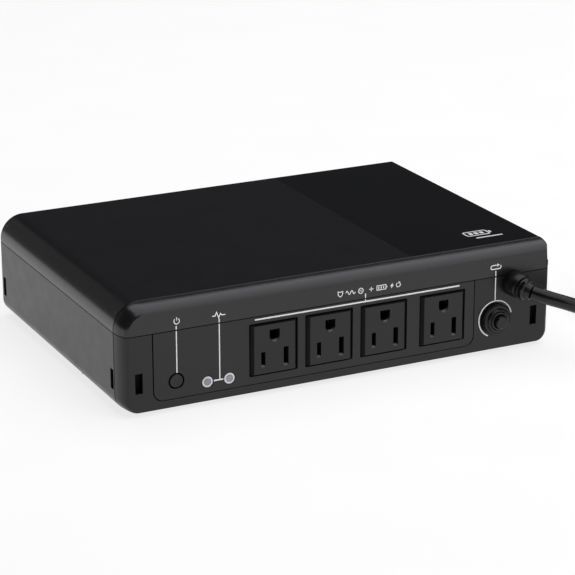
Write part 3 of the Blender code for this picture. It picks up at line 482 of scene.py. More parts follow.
def box_pair(x, reach, depths, heights, bm=None):
    """The same box on either side of x, between two distances from it."""
    for side in (-1, 1):
        left, right = sorted(x + side * far for far in reach)
        bm = box((left, depths[0], heights[0]), (right, depths[1], heights[1]), bm)
    return bm


def soft_box(low, high, radius, steps=3):
    bm = box(low, high)
    bmesh.ops.bevel(bm, geom=bm.edges[:], offset=radius, segments=steps, profile=0.5, affect="EDGES")
    return bm


def loft(rings, bm=None, capped=True):
    """A skin through equal rings of points, with flat ends."""
    if bm is None:
        bm = bmesh.new()
    loops = [[bm.verts.new(point) for point in ring] for ring in rings]
    count = len(loops[0])
    for one, other in zip(loops, loops[1:]):
        for k in range(count):
            after = (k + 1) % count
            bm.faces.new((one[k], one[after], other[after], other[k]))
    if capped:
        bm.faces.new(loops[0])
        bm.faces.new(loops[-1])
    return bm


def hoop(rings):
    """A skin through rings that comes back to the first."""
    bm = loft(rings + rings[:1], capped=False)
    bmesh.ops.remove_doubles(bm, verts=bm.verts[:], dist=0.0005)
    return bm


def around(centre, radius, angle):
    """The point at an angle on a circle."""
    return centre[0] + radius * cos(angle), centre[1] + radius * sin(angle)


def rounded_outline(low, high, radii, steps=6):
    """Points round a rectangle; radii start at its lower left corner and go anticlockwise."""
    points = []
    corners = ((low[0], low[1]), (high[0], low[1]), (high[0], high[1]), (low[0], high[1]))
    inward = ((1, 1), (-1, 1), (-1, -1), (1, -1))
    for turn, (corner, side, radius) in enumerate(zip(corners, inward, radii)):
        if radius <= 0:
            points.append(corner)
            continue
        centre = (corner[0] + side[0] * radius, corner[1] + side[1] * radius)
        for k in range(steps + 1):
            points.append(around(centre, radius, radians(180 + 90 * turn + 90 * k / steps)))
    return points


def plate(outline, start, end, axis="Y", bm=None):
    """An outline, drawn across an axis, pushed along it from start to end."""
    spot = {
        "X": lambda a, b, t: (t, a, b),
        "Y": lambda a, b, t: (a, t, b),
        "Z": lambda a, b, t: (a, b, t),
    }[axis]
    return loft([[spot(a, b, t) for a, b in outline] for t in (start, end)], bm)


def flared(outline_at, face, deep, flare, bm=None):
    """A cutter through a front face: its mouth widens by flare, its outline given per offset."""
    stations = ((face - 1.0, flare), (face, flare), (face + flare, 0.0), (deep, 0.0))
    rings = [[(x, y, z) for x, z in outline_at(offset)] for y, offset in stations]
    return loft(rings, bm)


def turned(profile, centre, steps=64, axis="Y"):
    """A solid of revolution; the profile's ends lie on the axis, or it closes on itself."""
    bm = bmesh.new()
    hollow = profile[0][0] > 0
    verts = [bm.verts.new((radius, 0.0, along)) for radius, along in profile]
    edges = [bm.edges.new(pair) for pair in zip(verts, verts[1:])]
    if hollow:
        edges.append(bm.edges.new((verts[-1], verts[0])))
    bmesh.ops.spin(
        bm, geom=verts + edges, cent=(0, 0, 0), axis=(0, 0, 1), angle=tau, steps=steps, use_duplicate=False
    )
    bmesh.ops.remove_doubles(bm, verts=bm.verts[:], dist=0.0005)
    if axis == "Y":
        bmesh.ops.transform(bm, matrix=Matrix.Rotation(radians(-90), 4, "X"), verts=bm.verts[:])
    bmesh.ops.translate(bm, verts=bm.verts[:], vec=Vector(centre))
    return bm


def rod(radius, centre, start, end, steps=48, axis="Y"):
    return turned([(0, start), (radius, start), (radius, end), (0, end)], centre, steps, axis)


def lengths(points):
    """The distance along a line of points to each of them."""
    return np.concatenate([[0.0], np.cumsum(np.linalg.norm(np.diff(points, axis=0), axis=1))])


def resample(points, start, end, step):
    """Points about a step apart between two distances along a line."""
    along = lengths(points)
    end = min(end, along[-1])
    places = np.linspace(start, end, max(2, round((end - start) / step)) + 1)
    return np.stack([np.interp(places, along, points[:, k]) for k in range(3)], axis=1)


def smooth_curve(points):
    """Points half a millimetre apart on the natural cubic spline through the given ones."""
    points = np.array(points, float)
    knots = lengths(points)
    spans = np.diff(knots)
    count = len(points)
    system = np.eye(count)
    right = np.zeros_like(points)
    for k in range(1, count - 1):
        system[k, k - 1:k + 2] = spans[k - 1], 2 * (spans[k - 1] + spans[k]), spans[k]
        rise = (points[k + 1] - points[k]) / spans[k] - (points[k] - points[k - 1]) / spans[k - 1]
        right[k] = 6 * rise
    bends = np.linalg.solve(system, right)
    fine = []
    for at in np.linspace(0.0, knots[-1], 40 * count):
        k = min(int(np.searchsorted(knots, at, side="right")) - 1, count - 2)
        before = at - knots[k]
        after = knots[k + 1] - at
        span = spans[k]
        fine.append(
            (bends[k] * after ** 3 + bends[k + 1] * before ** 3) / (6 * span)
            + (points[k] / span - bends[k] * span / 6) * after
            + (points[k + 1] / span - bends[k + 1] * span / 6) * before
        )
    return resample(np.array(fine), 0.0, inf, 0.5)


# --- the case ---

def right_top(inset):
    """Points up the leaning right side and round its top edge, pulled in by an inset."""
    radius = max(RIGHT_RADIUS - inset, 0.25)
    lean = atan(RIGHT_LEAN / (HEIGHT - RIGHT_RADIUS - SEAM_Z))
    edge = LENGTH - inset
    centre_z = HEIGHT - inset - radius
    start_z = centre_z + radius * sin(lean)
    centre_x = edge - (start_z - SEAM_Z) * tan(lean) - radius * cos(lean)
    points = [(edge, SEAM_Z)]
    for k in range(CORNER_STEPS + 1):
        points.append(around((centre_x, centre_z), radius, lean + (pi / 2 - lean) * k / CORNER_STEPS))
    return points


def case_ring(y, inset, lift=None):
    """The case's outline at one depth, pulled in by an inset, and by a lift of its own underneath."""
    lift = inset if lift is None else lift
    radius = BOTTOM_RADIUS - (inset + lift) / 2
    radii = (radius, radius, 0, TOP_RADIUS - inset)
    outline = rounded_outline((inset, lift), (LENGTH - inset, HEIGHT - inset), radii, CORNER_STEPS)
    corner = 2 * (CORNER_STEPS + 1)
    outline[corner:corner + 1] = right_top(inset)
    return [(x, y, z) for x, z in outline]


def case_skin():
    """The closed outer form, from its rounded front rim to its rounded back edge."""
    stations = [(y, inset, RIM_LIFT * max(0.0, 1 - y / 1.2) ** 2) for y, inset in RIM]
    half = GROOVE_WIDE / 2
    stations += [
        (GROOVE_Y - half, 0.04), (GROOVE_Y - half + 0.5, GROOVE_DEEP),
        (GROOVE_Y + half - 0.25, GROOVE_DEEP), (GROOVE_Y + half, 0.0),
    ]
    for k in range(9):
        angle = radians(11.25 * k)
        stations.append((DEPTH - BACK_ROUND * (1 - sin(angle)), BACK_ROUND * (1 - cos(angle))))
    return loft([case_ring(*station) for station in stations])


def case_hollow():
    return loft([case_ring(FRONT_WALL, WALL), case_ring(DEPTH - WALL, WALL)])


def windows(bm):
    """Latch windows through the front and both sides."""
    low, high = WINDOW_Z
    half = WINDOW_WIDE / 2
    for x in FRONT_WINDOWS:
        box((x - half, -1, low), (x + half, FRONT_WALL + 0.5, high), bm)
    for y in SIDE_WINDOWS:
        box((-1, y - half, low), (WALL + 0.5, y + half, high), bm)
        box((LENGTH - WALL - 0.5, y - half, low), (LENGTH + 1, y + half, high), bm)
    return bm


def front_bore(spot, radius):
    return rod(radius, (spot[0], 0, spot[1]), -1, FRONT_WALL + 0.5)


def vents(bm):
    """Narrow air slots in the floor beside the board, and in the back behind the transformer."""
    for k in range(VENTS):
        x = VENT_X + VENT_STEP * k
        box((x, VENT_Y[0], -1), (x + VENT_WIDE, VENT_Y[1], FLOOR + 0.5), bm)
        box((x, DEPTH - WALL - 0.5, VENT_Z[0]), (x + VENT_WIDE, DEPTH + 1, VENT_Z[1]), bm)
    return bm


def on_outside(point):
    """Whether a bench point lies on the case's outer skin rather than on an inner wall."""
    return (
        point.x < 1.5 or point.x > LENGTH - 1.5 or point.y < 1.5 or point.y > DEPTH - 1.5
        or point.z < 1.2 or point.z > HEIGHT - 1.2
    )


def make_case_shell():
    shell = to_object("case_shell", case_skin())
    cut(shell, case_hollow())
    keep_inside(shell, box((-5, -5, -5), (LENGTH + 5, DEPTH + 5, SEAM_Z - SEAM_GAP / 2)))
    battery_low, battery_high = bench_box("battery")
    right = battery_high.x + 1.3
    front = battery_low.y - 6.0
    add(shell, box((right, front, FLOOR - 0.5), (right + RIB_THICK, DEPTH - WALL + 0.5, RIB_TOP)))
    add(shell, box((WALL - 0.5, front, FLOOR - 0.5), (right + RIB_THICK / 2, front + RIB_THICK, RIB_TOP)))
    for screw in SCREWS:
        spot = middle(screw)
        add(shell, rod(POST_RADIUS, (spot.x, spot.y, 0), FLOOR - 0.5, POST_TOP, 32, "Z"))
        cut(shell, rod(POST_BORE, (spot.x, spot.y, 0), POST_BOTTOM, POST_TOP + 2.0, 24, "Z"))
    opening = lambda offset: rounded_outline(
        (PANEL_X[0] - offset, PANEL_Z - offset), (PANEL_X[1] + offset, SEAM_Z + 5),
        (PANEL_RADIUS + offset, PANEL_RADIUS + offset, 0, 0), 10,
    )
    cut(shell, flared(opening, 0.0, FRONT_WALL + 0.5, 0.2))
    cut(shell, windows(bmesh.new()))
    cut(shell, vents(bmesh.new()))
    recesses = bmesh.new()
    for number in (1, 2, 3, 4):
        spot = middle(f"foot_{number}")
        bmesh.ops.create_cone(
            recesses, cap_ends=True, segments=48, radius1=RECESS_RADIUS, radius2=RECESS_RADIUS, depth=2.0,
            matrix=Matrix.Translation((spot.x, spot.y, -0.5)),
        )
    cut(shell, recesses)
    cut(shell, front_bore(BREAKER, NECK_RADIUS + GAP))
    cut(shell, front_bore(GLAND, GLAND_HOLE))
    seam = SEAM_Z - SEAM_GAP / 2
    soften(shell, 0.2, lambda p: on_outside(p) and abs(p.z - seam) < 0.05)
    hand_over(shell, "bottom_case")


def tongue(bm, x, y, along, into):
    """A snap tongue that hangs from the cover, its hook pointing into a window."""
    half = TONGUE_WIDE / 2
    section = (
        (0.0, 50.0), (0.0, 20.1), (0.9, 20.1), (0.9, 18.6), (0.0, 12.5),
        (0.0, 10.6), (-TONGUE_THICK, 10.6), (-TONGUE_THICK, 50.0),
    )
    rings = []
    for side in (-half, half):
        rings.append([
            (x + along[0] * side + into[0] * reach, y + along[1] * side + into[1] * reach, z)
            for reach, z in section
        ])
    return loft(rings, bm)


def make_cover_shell():
    shell = to_object("cover_shell", case_skin(), "cover_satin")
    cut(shell, case_hollow())
    keep_inside(shell, box((-5, -5, SEAM_Z + SEAM_GAP / 2), (LENGTH + 5, DEPTH + 5, HEIGHT + 5)))
    step = WALL + GAP
    lip = to_object("lip", box((step, FRONT_WALL + GAP, LIP_Z[0]), (LENGTH - step, DEPTH - step, LIP_Z[1])))
    far = step + LIP_THICK
    inner = ((far, FRONT_WALL + GAP + LIP_THICK, 30.0), (LENGTH - far, DEPTH - far, 60.0))
    cut(lip, box(*inner))
    shelf = to_object("shelf", box((2.0, 1.8, SHELF_Z[0]), (LENGTH - 2.0, DEPTH - 2.0, SHELF_Z[1])))
    cut(shelf, box(*inner))
    combine(lip, shelf, "UNION")
    combine(shell, lip, "UNION")
    tongues = bmesh.new()
    for x in FRONT_WINDOWS:
        tongue(tongues, x, FRONT_WALL + GAP, (1, 0), (0, -1))
    for y in SIDE_WINDOWS:
        tongue(tongues, WALL + GAP, y, (0, 1), (-1, 0))
        tongue(tongues, LENGTH - WALL - GAP, y, (0, 1), (1, 0))
    add(shell, tongues)
    cut(shell, front_bore(GLAND, GLAND_HOLE))
    cut(shell, box((GLAND[0] - 8, FRONT_WALL, 30), (GLAND[0] + 8, 8, 43.6)))
    seam = SEAM_Z + SEAM_GAP / 2
    soften(shell, 0.2, lambda p: on_outside(p) and abs(p.z - seam) < 0.05)
    polish(shell)
    hand_over(shell, "top_cover", slot="cover_plastic")


def polish(shell):
    """Polish the cover's right-hand part, behind the groove, and darken its tongues: black clip plastic,
    darkened further with painted shade so the latch windows read dark.
    """
    mesh = shell.data
    mesh.materials.clear()
    for look in ("cover_satin", "cover_polished", "clip_plastic_and_shade"):
        mesh.materials.append(LOOKS[look])
    bm = bmesh.new()
    bm.from_mesh(mesh)
    everything = bm.verts[:] + bm.edges[:] + bm.faces[:]
    edge = place((POLISH_X, 0, 0))
    bmesh.ops.bisect_plane(bm, geom=everything, plane_co=edge, plane_no=(1, 0, 0), dist=1e-7)
    line = place((POLISH_X, GROOVE_Y + GROOVE_WIDE / 2 - 0.01, 37.0))
    for face in bm.faces:
        spot = face.calc_center_median()
        # the tongues: black clip plastic with painted shade
        if spot.z < line.z:
            face.material_index = 2
        elif spot.x > line.x and spot.y > line.y:
            face.material_index = 1
    bm.to_mesh(mesh)
    bm.free()


def make_feet():
    for number in (1, 2, 3, 4):
        low, high = bench_box(f"foot_{number}")
        spot = (low + high) / 2
        radius = (high.x - low.x) / 2
        profile = [
            (0, low.z + 0.25), (3.2, low.z + 0.2), (3.7, low.z), (radius - 1.0, low.z),
            (radius - 0.45, low.z + 0.12), (radius - 0.1, low.z + 0.45), (radius, low.z + 0.8),
            (radius, high.z), (0, high.z),
        ]
        foot = turned(profile, (spot.x, spot.y, 0), 64, "Z")
        piece(f"rubber_foot_{number}", foot, "rubber", f"foot_{number}")


# --- the front panel ---

def ring_outline(centre, radius, steps=64):
    """Outlines of a round hole, per offset."""
    return lambda offset: [around(centre, radius + offset, tau * k / steps) for k in range(steps)]


def slot_outline(x, z, wide, high, corner=0.25):
    """Outlines of an upright slot with slightly rounded corners, per offset."""
    return lambda offset: rounded_outline(
        (x - wide / 2 - offset, z - high / 2 - offset), (x + wide / 2 + offset, z + high / 2 + offset),
        (corner + offset * 0.5,) * 4, 3,
    )


def make_panel():
    left, right = PANEL_X[0] + PANEL_GAP, PANEL_X[1] - PANEL_GAP
    bottom = PANEL_Z + PANEL_GAP
    radius = PANEL_RADIUS - PANEL_GAP
    face = rounded_outline((left, bottom), (right, SEAM_Z - SEAM_GAP / 2), (radius, radius, 0, 0), 10)
    panel = to_object("panel_face", plate(face, 0.0, PANEL_THICK), "panel_plastic")
    behind = FRONT_WALL + GAP
    neck = rounded_outline((left, bottom), (right, FLANGE_TOP), (radius, radius, 0, 0), 10)
    add(panel, plate(neck, PANEL_THICK - 0.3, behind + 0.3))
    flange = rounded_outline((14.0, 3.2), (200.8, FLANGE_TOP - 0.1), (1.5, 1.5, 1.5, 1.5), 3)
    add(panel, plate(flange, behind, behind + 1.5))
    holes = bmesh.new()
    wide, high = OUTLET_OPENING
    for x in OUTLET_X:
        flared(slot_outline(x, OUTLET_Z, wide + 0.3, high + 0.3, 0.4), 0.0, 6.0, 0.15, holes)
    flared(ring_outline(BUTTON, BUTTON_HOLE), 0.0, 6.0, 0.2, holes)
    for spot in LENSES:
        flared(ring_outline(spot, LENS_RADIUS + 0.3), 0.0, 6.0, 0.15, holes)
    cut(panel, holes)
    soften(panel, 0.2, lambda p: abs(p.y) < 0.01 and (
        p.x < left + 6 or p.x > right - 6 or p.z < bottom + 0.5 or p.z > SEAM_Z - 0.5
    ))
    hand_over(panel, "front_panel")


def outlet_rings(x):
    """One outlet from its raised face back: a slope down each side, a small one above and below."""
    half = OUTLET_OPENING[0] / 2 - GAP - 0.1
    high = OUTLET_OPENING[1] / 2 - GAP - 0.1
    face = OUTLET_FACE / 2
    stations = (
        (-OUTLET_PROUD, face - 0.25, high - 0.75), (-OUTLET_PROUD + 0.1, face, high - 0.5), (0.5, half, high),
        (OUTLET_BACK, half, high),
    )
    rings = []
    for y, wide, tall in stations:
        outline = rounded_outline((x - wide, OUTLET_Z - tall), (x + wide, OUTLET_Z + tall), (0.35,) * 4, 3)
        rings.append([(a, y, b) for a, b in outline])
    return rings


def ground_outline(x):
    """Outlines of the ground hole, round below and flat on top, per offset."""
    def at(offset):
        radius = GROUND_RADIUS + offset
        points = [around((x, GROUND_Z), radius, radians(180 + 7.5 * k)) for k in range(25)]
        return points + [(x + radius, GROUND_Z + 2.8 + offset), (x - radius, GROUND_Z + 2.8 + offset)]
    return at


def lipped(outline_at, deep, bm):
    """A cutter for an outlet's opening, whose mouth slopes open below."""
    face = -OUTLET_PROUD
    mouth = outline_at(0.12)
    lowest = min(z for _, z in mouth)
    middle_z = (lowest + max(z for _, z in mouth)) / 2
    dropped = [(x, z - LIP_DROP if z < middle_z else z) for x, z in mouth]
    stations = ((face - 1.0, dropped), (face, dropped), (face + LIP_DROP, mouth), (deep, mouth))
    return loft([[(x, y, z) for x, z in outline] for y, outline in stations], bm)


def dress_outlet(outlet):
    """Give the slopes beside an outlet's face a rough look darkened with painted shade, and the lip of each
    opening a shiny one lightened with a painted highlight.
    """
    mesh = outlet.data
    mesh.materials.append(LOOKS["outlet_slope_painted_shade"])
    mesh.materials.append(LOOKS["outlet_lip_painted_highlight"])
    inside = OUTLET_OPENING[1] / 2 - 1.5
    for face in mesh.polygons:
        spot = bench(face.center)
        sideways = abs(face.normal.x) > 0.35 and abs(face.normal.z) < 0.3
        on_shaded_slope = sideways and -OUTLET_PROUD + 0.08 < spot.y < 0.6
        near_mouth = spot.y < -OUTLET_PROUD + LIP_DROP and abs(spot.z - OUTLET_Z) < inside
        # the lips get the painted highlight
        on_highlit_lip = face.normal.z > 0.35 and near_mouth
        face.material_index = 2 if on_highlit_lip else int(on_shaded_slope)


def make_outlets():
    for number, x in enumerate(OUTLET_X, 1):
        outlet = to_object(f"outlet_insert_{number}", loft(outlet_rings(x)), "outlet_plastic")
        wall_back = 2.2
        chambers = bmesh.new()
        for side in (-SLOT_OFF, SLOT_OFF):
            box((x + side - 2.8, wall_back, SLOT_Z - 5.4), (x + side + 2.8, 30, SLOT_Z + 5.4), chambers)
        box((x - 3.7, wall_back, GROUND_Z - 4.0), (x + 3.7, 30, GROUND_Z + 4.0), chambers)
        cut(outlet, chambers)
        slots = bmesh.new()
        for side, (wide, high) in ((-SLOT_OFF, LINE_SLOT), (SLOT_OFF, NEUTRAL_SLOT)):
            lipped(slot_outline(x + side, SLOT_Z, wide + 0.3, high), wall_back + 0.5, slots)
        lipped(ground_outline(x), wall_back + 0.5, slots)
        cut(outlet, slots)
        dress_outlet(outlet)
        hand_over(outlet, f"outlet_{number}")


def make_power_button():
    x, z = BUTTON
    r = BUTTON_RADIUS
    profile = [
        (0, 0.28), (1.4, 0.25), (2.5, 0.12), (r - 0.55, 0.0), (r - 0.25, 0.06), (r - 0.07, 0.24), (r, 0.5),
        (r, 4.9), (5.0, 4.9), (5.0, 5.9), (2.0, 5.9), (2.0, 7.8), (0, 7.8),
    ]
    cap = turned(profile, (x, 0, z))
    piece("power_button_cap", cap, "button_plastic", "power_button", body="power_button")


def make_lenses():
    r = LENS_RADIUS
    for side, (x, z) in zip(("left", "right"), LENSES):
        profile = [
            (0, 0.02), (0.8, 0.05), (1.5, 0.16), (1.72, 0.3), (1.8, 0.32), (1.88, 0.2), (1.98, 0.03),
            (2.15, 0.0), (r - 0.3, 0.0), (r - 0.08, 0.08), (r, 0.3), (r, 4.7), (3.9, 4.7), (3.9, 5.7),
            (2.2, 5.7), (2.2, 9.0), (0, 9.0),
        ]
        lens = to_object(f"light_pipe_{side}", turned(profile, (x, 0, z)), "lens_plastic")
        lens.data.materials.append(LOOKS["lens_ring"])
        for face in lens.data.polygons:
            spot = bench(face.center)
            face.material_index = int(hypot(spot.x - x, spot.z - z) > 1.9 and spot.y < 0.4)
        hand_over(lens, f"status_lens_{side}")


# --- reset breaker ---

def knurled(profile, centre, teeth, per_tooth=6):
    """A turned ring whose rim is cut into fine ridges; the profile holds radius, depth and cut."""
    count = teeth * per_tooth
    rings = []
    for radius, y, deep in profile:
        ring = []
        for k in range(count):
            angle = tau * k / count
            wave = 0.5 - 0.5 * cos(angle * teeth)
            x, z = around(centre, radius - deep * wave, angle)
            ring.append((x, y, z))
        rings.append(ring)
    return hoop(rings)


def make_breaker():
    x, z = BREAKER
    low, high = bench_box("breaker_body")
    block = soft_box((low.x, FRONT_WALL + GAP, low.z), (high.x, 31, high.z), 0.8)
    housing = to_object("breaker_housing", block, "component_black")
    n = NECK_RADIUS
    neck = [
        (0, -5.2), (n - 0.35, -5.2), (n - 0.1, -5.1), (n, -4.85), (n, -4.7), (n - 0.2, -4.6), (n - 0.2, -4.5),
        (n, -4.4), (n, 4.0), (0, 4.0),
    ]
    add(housing, turned(neck, (x, 0, z)))
    bore = RESET_RADIUS + GAP
    hollow = [(0, -8), (n - 0.6, -8), (n - 0.6, -5.0), (bore, -4.6), (bore, 12), (0, 12)]
    cut(housing, turned(hollow, (x, 0, z)))
    add(housing, box_pair(x, (4.7, 5.5), (30.5, high.y), (z - 3.2, z + 3.2)))
    hand_over(housing, "breaker_body")
    rim = NUT_RADIUS
    inner = n + GAP
    nut_profile = (
        (inner, -GAP, 0), (rim - 0.4, -GAP, 0), (rim, -0.7, 0.45), (rim, -2.5, 0.45), (rim - 0.35, -3.0, 0.4),
        (rim - 0.75, -3.2, 0.15), (rim - 1.0, -3.2, 0), (rim - 1.45, -3.2, 0), (rim - 1.55, -3.02, 0),
        (rim - 1.85, -3.02, 0), (rim - 1.98, -3.2, 0), (rim - 2.1, -3.35, 0), (6.35, -3.9, 0), (6.1, -4.3, 0),
        (5.8, -4.47, 0), (5.45, -4.5, 0), (inner + 0.05, -4.35, 0), (inner, -4.0, 0),
    )
    nut = knurled(nut_profile, (x, z), NUT_TEETH)
    piece("breaker_ring_nut", nut, "black_nylon", "breaker_nut", sharp=50)
    r = RESET_RADIUS
    tip = -RESET_REACH
    nose = [
        (0, tip + 0.12), (r - 1.3, tip + 0.05), (r - 0.75, tip), (r - 0.4, tip + 0.06), (r - 0.12, tip + 0.3),
        (r, tip + 0.65), (r, 10.0), (0, 10.0),
    ]
    piece("reset_button_cap", turned(nose, (x, 0, z)), "black_nylon", "breaker_button", body="reset_button")


# --- mains cord ---

def carried_ring(points, k, reach, sides):
    """A ring round the k-th point of a line; reach gives the radius at an angle."""
    ahead = Vector(points[min(k + 1, len(points) - 1)]) - Vector(points[max(k - 1, 0)])
    forward = ahead.normalized()
    across = forward.cross(Vector((0, 0, 1))).normalized()
    rise = across.cross(forward)
    ring = []
    for n in range(sides):
        angle = tau * n / sides
        radius = reach(angle)
        ring.append(Vector(points[k]) + radius * (across * cos(angle) + rise * sin(angle)))
    return ring


BUSH_PROFILE = (
    (0.0, 6.2), (0.4, 6.6), (6.7, 6.6), (6.95, 6.4), (7.0, 5.1), (10.2, 5.1), (10.3, 6.6), (10.6, 6.95),
    (10.9, 7.0), (13.6, 7.0), (15.6, 6.85), (17.4, 6.6), (17.9, 6.4), (18.2, 6.2), (19.6, 6.1), (20.9, 5.75),
    (21.5, 5.3), (21.75, 4.6), (23.0, 4.4), (GLAND_LENGTH, 4.1),
)
BUSH_CUTS = ((19.0, 90.0), (20.6, 0.0))
CUT_WIDE = 1.0
CUT_DEEP = 1.6


def make_bush():
    """Strain relief: an inner grip, a round head, then a nose with staggered flexing cuts."""
    line = resample(smooth_curve(CORD_ROUTE), 0.0, GLAND_LENGTH, 0.1)
    along = np.linspace(0.0, GLAND_LENGTH, len(line))
    distances, radii = zip(*BUSH_PROFILE)
    rings = []
    for k, at in enumerate(along):
        body = float(np.interp(at, distances, radii))

        def reach(angle, at=at, body=body):
            for middle_at, turn in BUSH_CUTS:
                across = abs(cos(angle - radians(turn)))
                if abs(at - middle_at) < CUT_WIDE / 2 and across > 0.5:
                    return body - CUT_DEEP
            return body
        rings.append(carried_ring(line, k, reach, 72))
    return piece("cord_bush", loft(rings), "black_nylon", "strain_relief", sharp=40)


OUTER, MIDDLE, INNER = 47.0, 39.5, 32.0
LOW, HIGH = 2.65, 10.2
COIL_STOPS = (                 # degrees turned, then the radius and height of the cord's line there
    (-90, OUTER, LOW), (150, OUTER, LOW), (265, MIDDLE, LOW), (510, MIDDLE, LOW), (625, INNER, LOW),
    (780, INNER, LOW), (900, INNER, HIGH), (1080, INNER, HIGH), (1195, MIDDLE, HIGH), (1370, MIDDLE, HIGH),
    (1485, OUTER, HIGH), (1740, OUTER, HIGH), (1800, TAIL_ROUTE[0][0] - COIL[0], TAIL_ROUTE[0][2]),
)
COIL_STEP = 22.5


def coil_cell(turned_by):
    """Radius and height of the coil's line after it has turned that many degrees past its start."""
    for (start, radius, z), (end, next_radius, next_z) in zip(COIL_STOPS, COIL_STOPS[1:]):
        if turned_by <= end:
            share = (turned_by - start) / (end - start)
            ease = share * share * (3 - 2 * share)
            return radius + (next_radius - radius) * ease, z + (next_z - z) * ease


def cord_line():
    """The cord's own points: free stretch, coil, then the tail up to the plug."""
    free = resample(smooth_curve(CORD_ROUTE), GLAND_LENGTH + GAP, inf, 9.0)
    points = [tuple(point) for point in free]
    last = CORD_ROUTE[-1]
    for share in (0.33, 0.67):
        points.append((last[0] + (COIL[0] - last[0]) * share, last[1], last[2] + (LOW - last[2]) * share))
    turned_by = COIL_STOPS[0][0]
    while turned_by < COIL_STOPS[-1][0]:
        radius, z = coil_cell(turned_by)
        points.append((*around(COIL, radius, radians(turned_by)), z))
        turned_by += COIL_STEP
    return points + list(TAIL_ROUTE)


def make_cord(bush, tie, plug_pieces):
    line = bpy.data.curves.new("mains_cord", "CURVE")
    line.dimensions = "3D"
    line.bevel_depth = CORD / 2 * MM
    line.bevel_resolution = 6
    line.resolution_u = 5
    line.use_fill_caps = True
    points = cord_line()
    spline = line.splines.new("BEZIER")
    spline.bezier_points.add(len(points) - 1)
    for knot, point in zip(spline.bezier_points, points):
        knot.co = place(point)
        knot.handle_left_type = "AUTO"
        knot.handle_right_type = "AUTO"
    line.materials.append(LOOKS["cord_pvc"])
    cord = link_new("mains_cord", line)
    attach(cord, "case")
    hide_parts("power_cord", "cord_coil", "cord_tail")
    bpy.context.view_layer.update()


def make_tie():
    """A hook-and-loop strap round the coil's turns."""
    low, high = bench_box("cord_tie")
    spot = (low + high) / 2
    coil_low, coil_high = bench_box("cord_coil")
    turn = atan2(spot.y - COIL[1], spot.x - COIL[0])
    coil_out = (coil_high.x - coil_low.x) / 2
    inner_edge = coil_out - 22.8
    curve = inner_edge - sqrt(inner_edge ** 2 - 25)
    inside = (inner_edge - GAP - curve, coil_low.z - GAP)
    outside = (coil_out + GAP, coil_high.z + GAP)
    thick = 0.8
    hole = rounded_outline(inside, outside, (2.2,) * 4, 8)
    rim = rounded_outline(
        (inside[0] - thick, inside[1] - thick + 0.02), (outside[0] + thick - 0.05, outside[1] + thick - 0.05),
        (2.2 + thick,) * 4, 8,
    )
    spin = Matrix.Translation((COIL[0], COIL[1], 0)) @ Matrix.Rotation(turn, 4, "Z")
    half = 5.0
    stations = ((-half, 0.55), (-half + 0.25, 1.0), (half - 0.25, 1.0), (half, 0.55))
    rings = []
    for across, full in stations:
        rings.append([(a + (c - a) * full, across, b + (d - b) * full) for (a, b), (c, d) in zip(hole, rim)])
    for across, _ in reversed(stations):
        rings.append([(a, across * 0.999, b) for a, b in hole])
    bm = hoop(rings)
    bmesh.ops.transform(bm, matrix=spin, verts=bm.verts[:])
    return piece("cable_tie", bm, "black_nylon", "cord_tie")


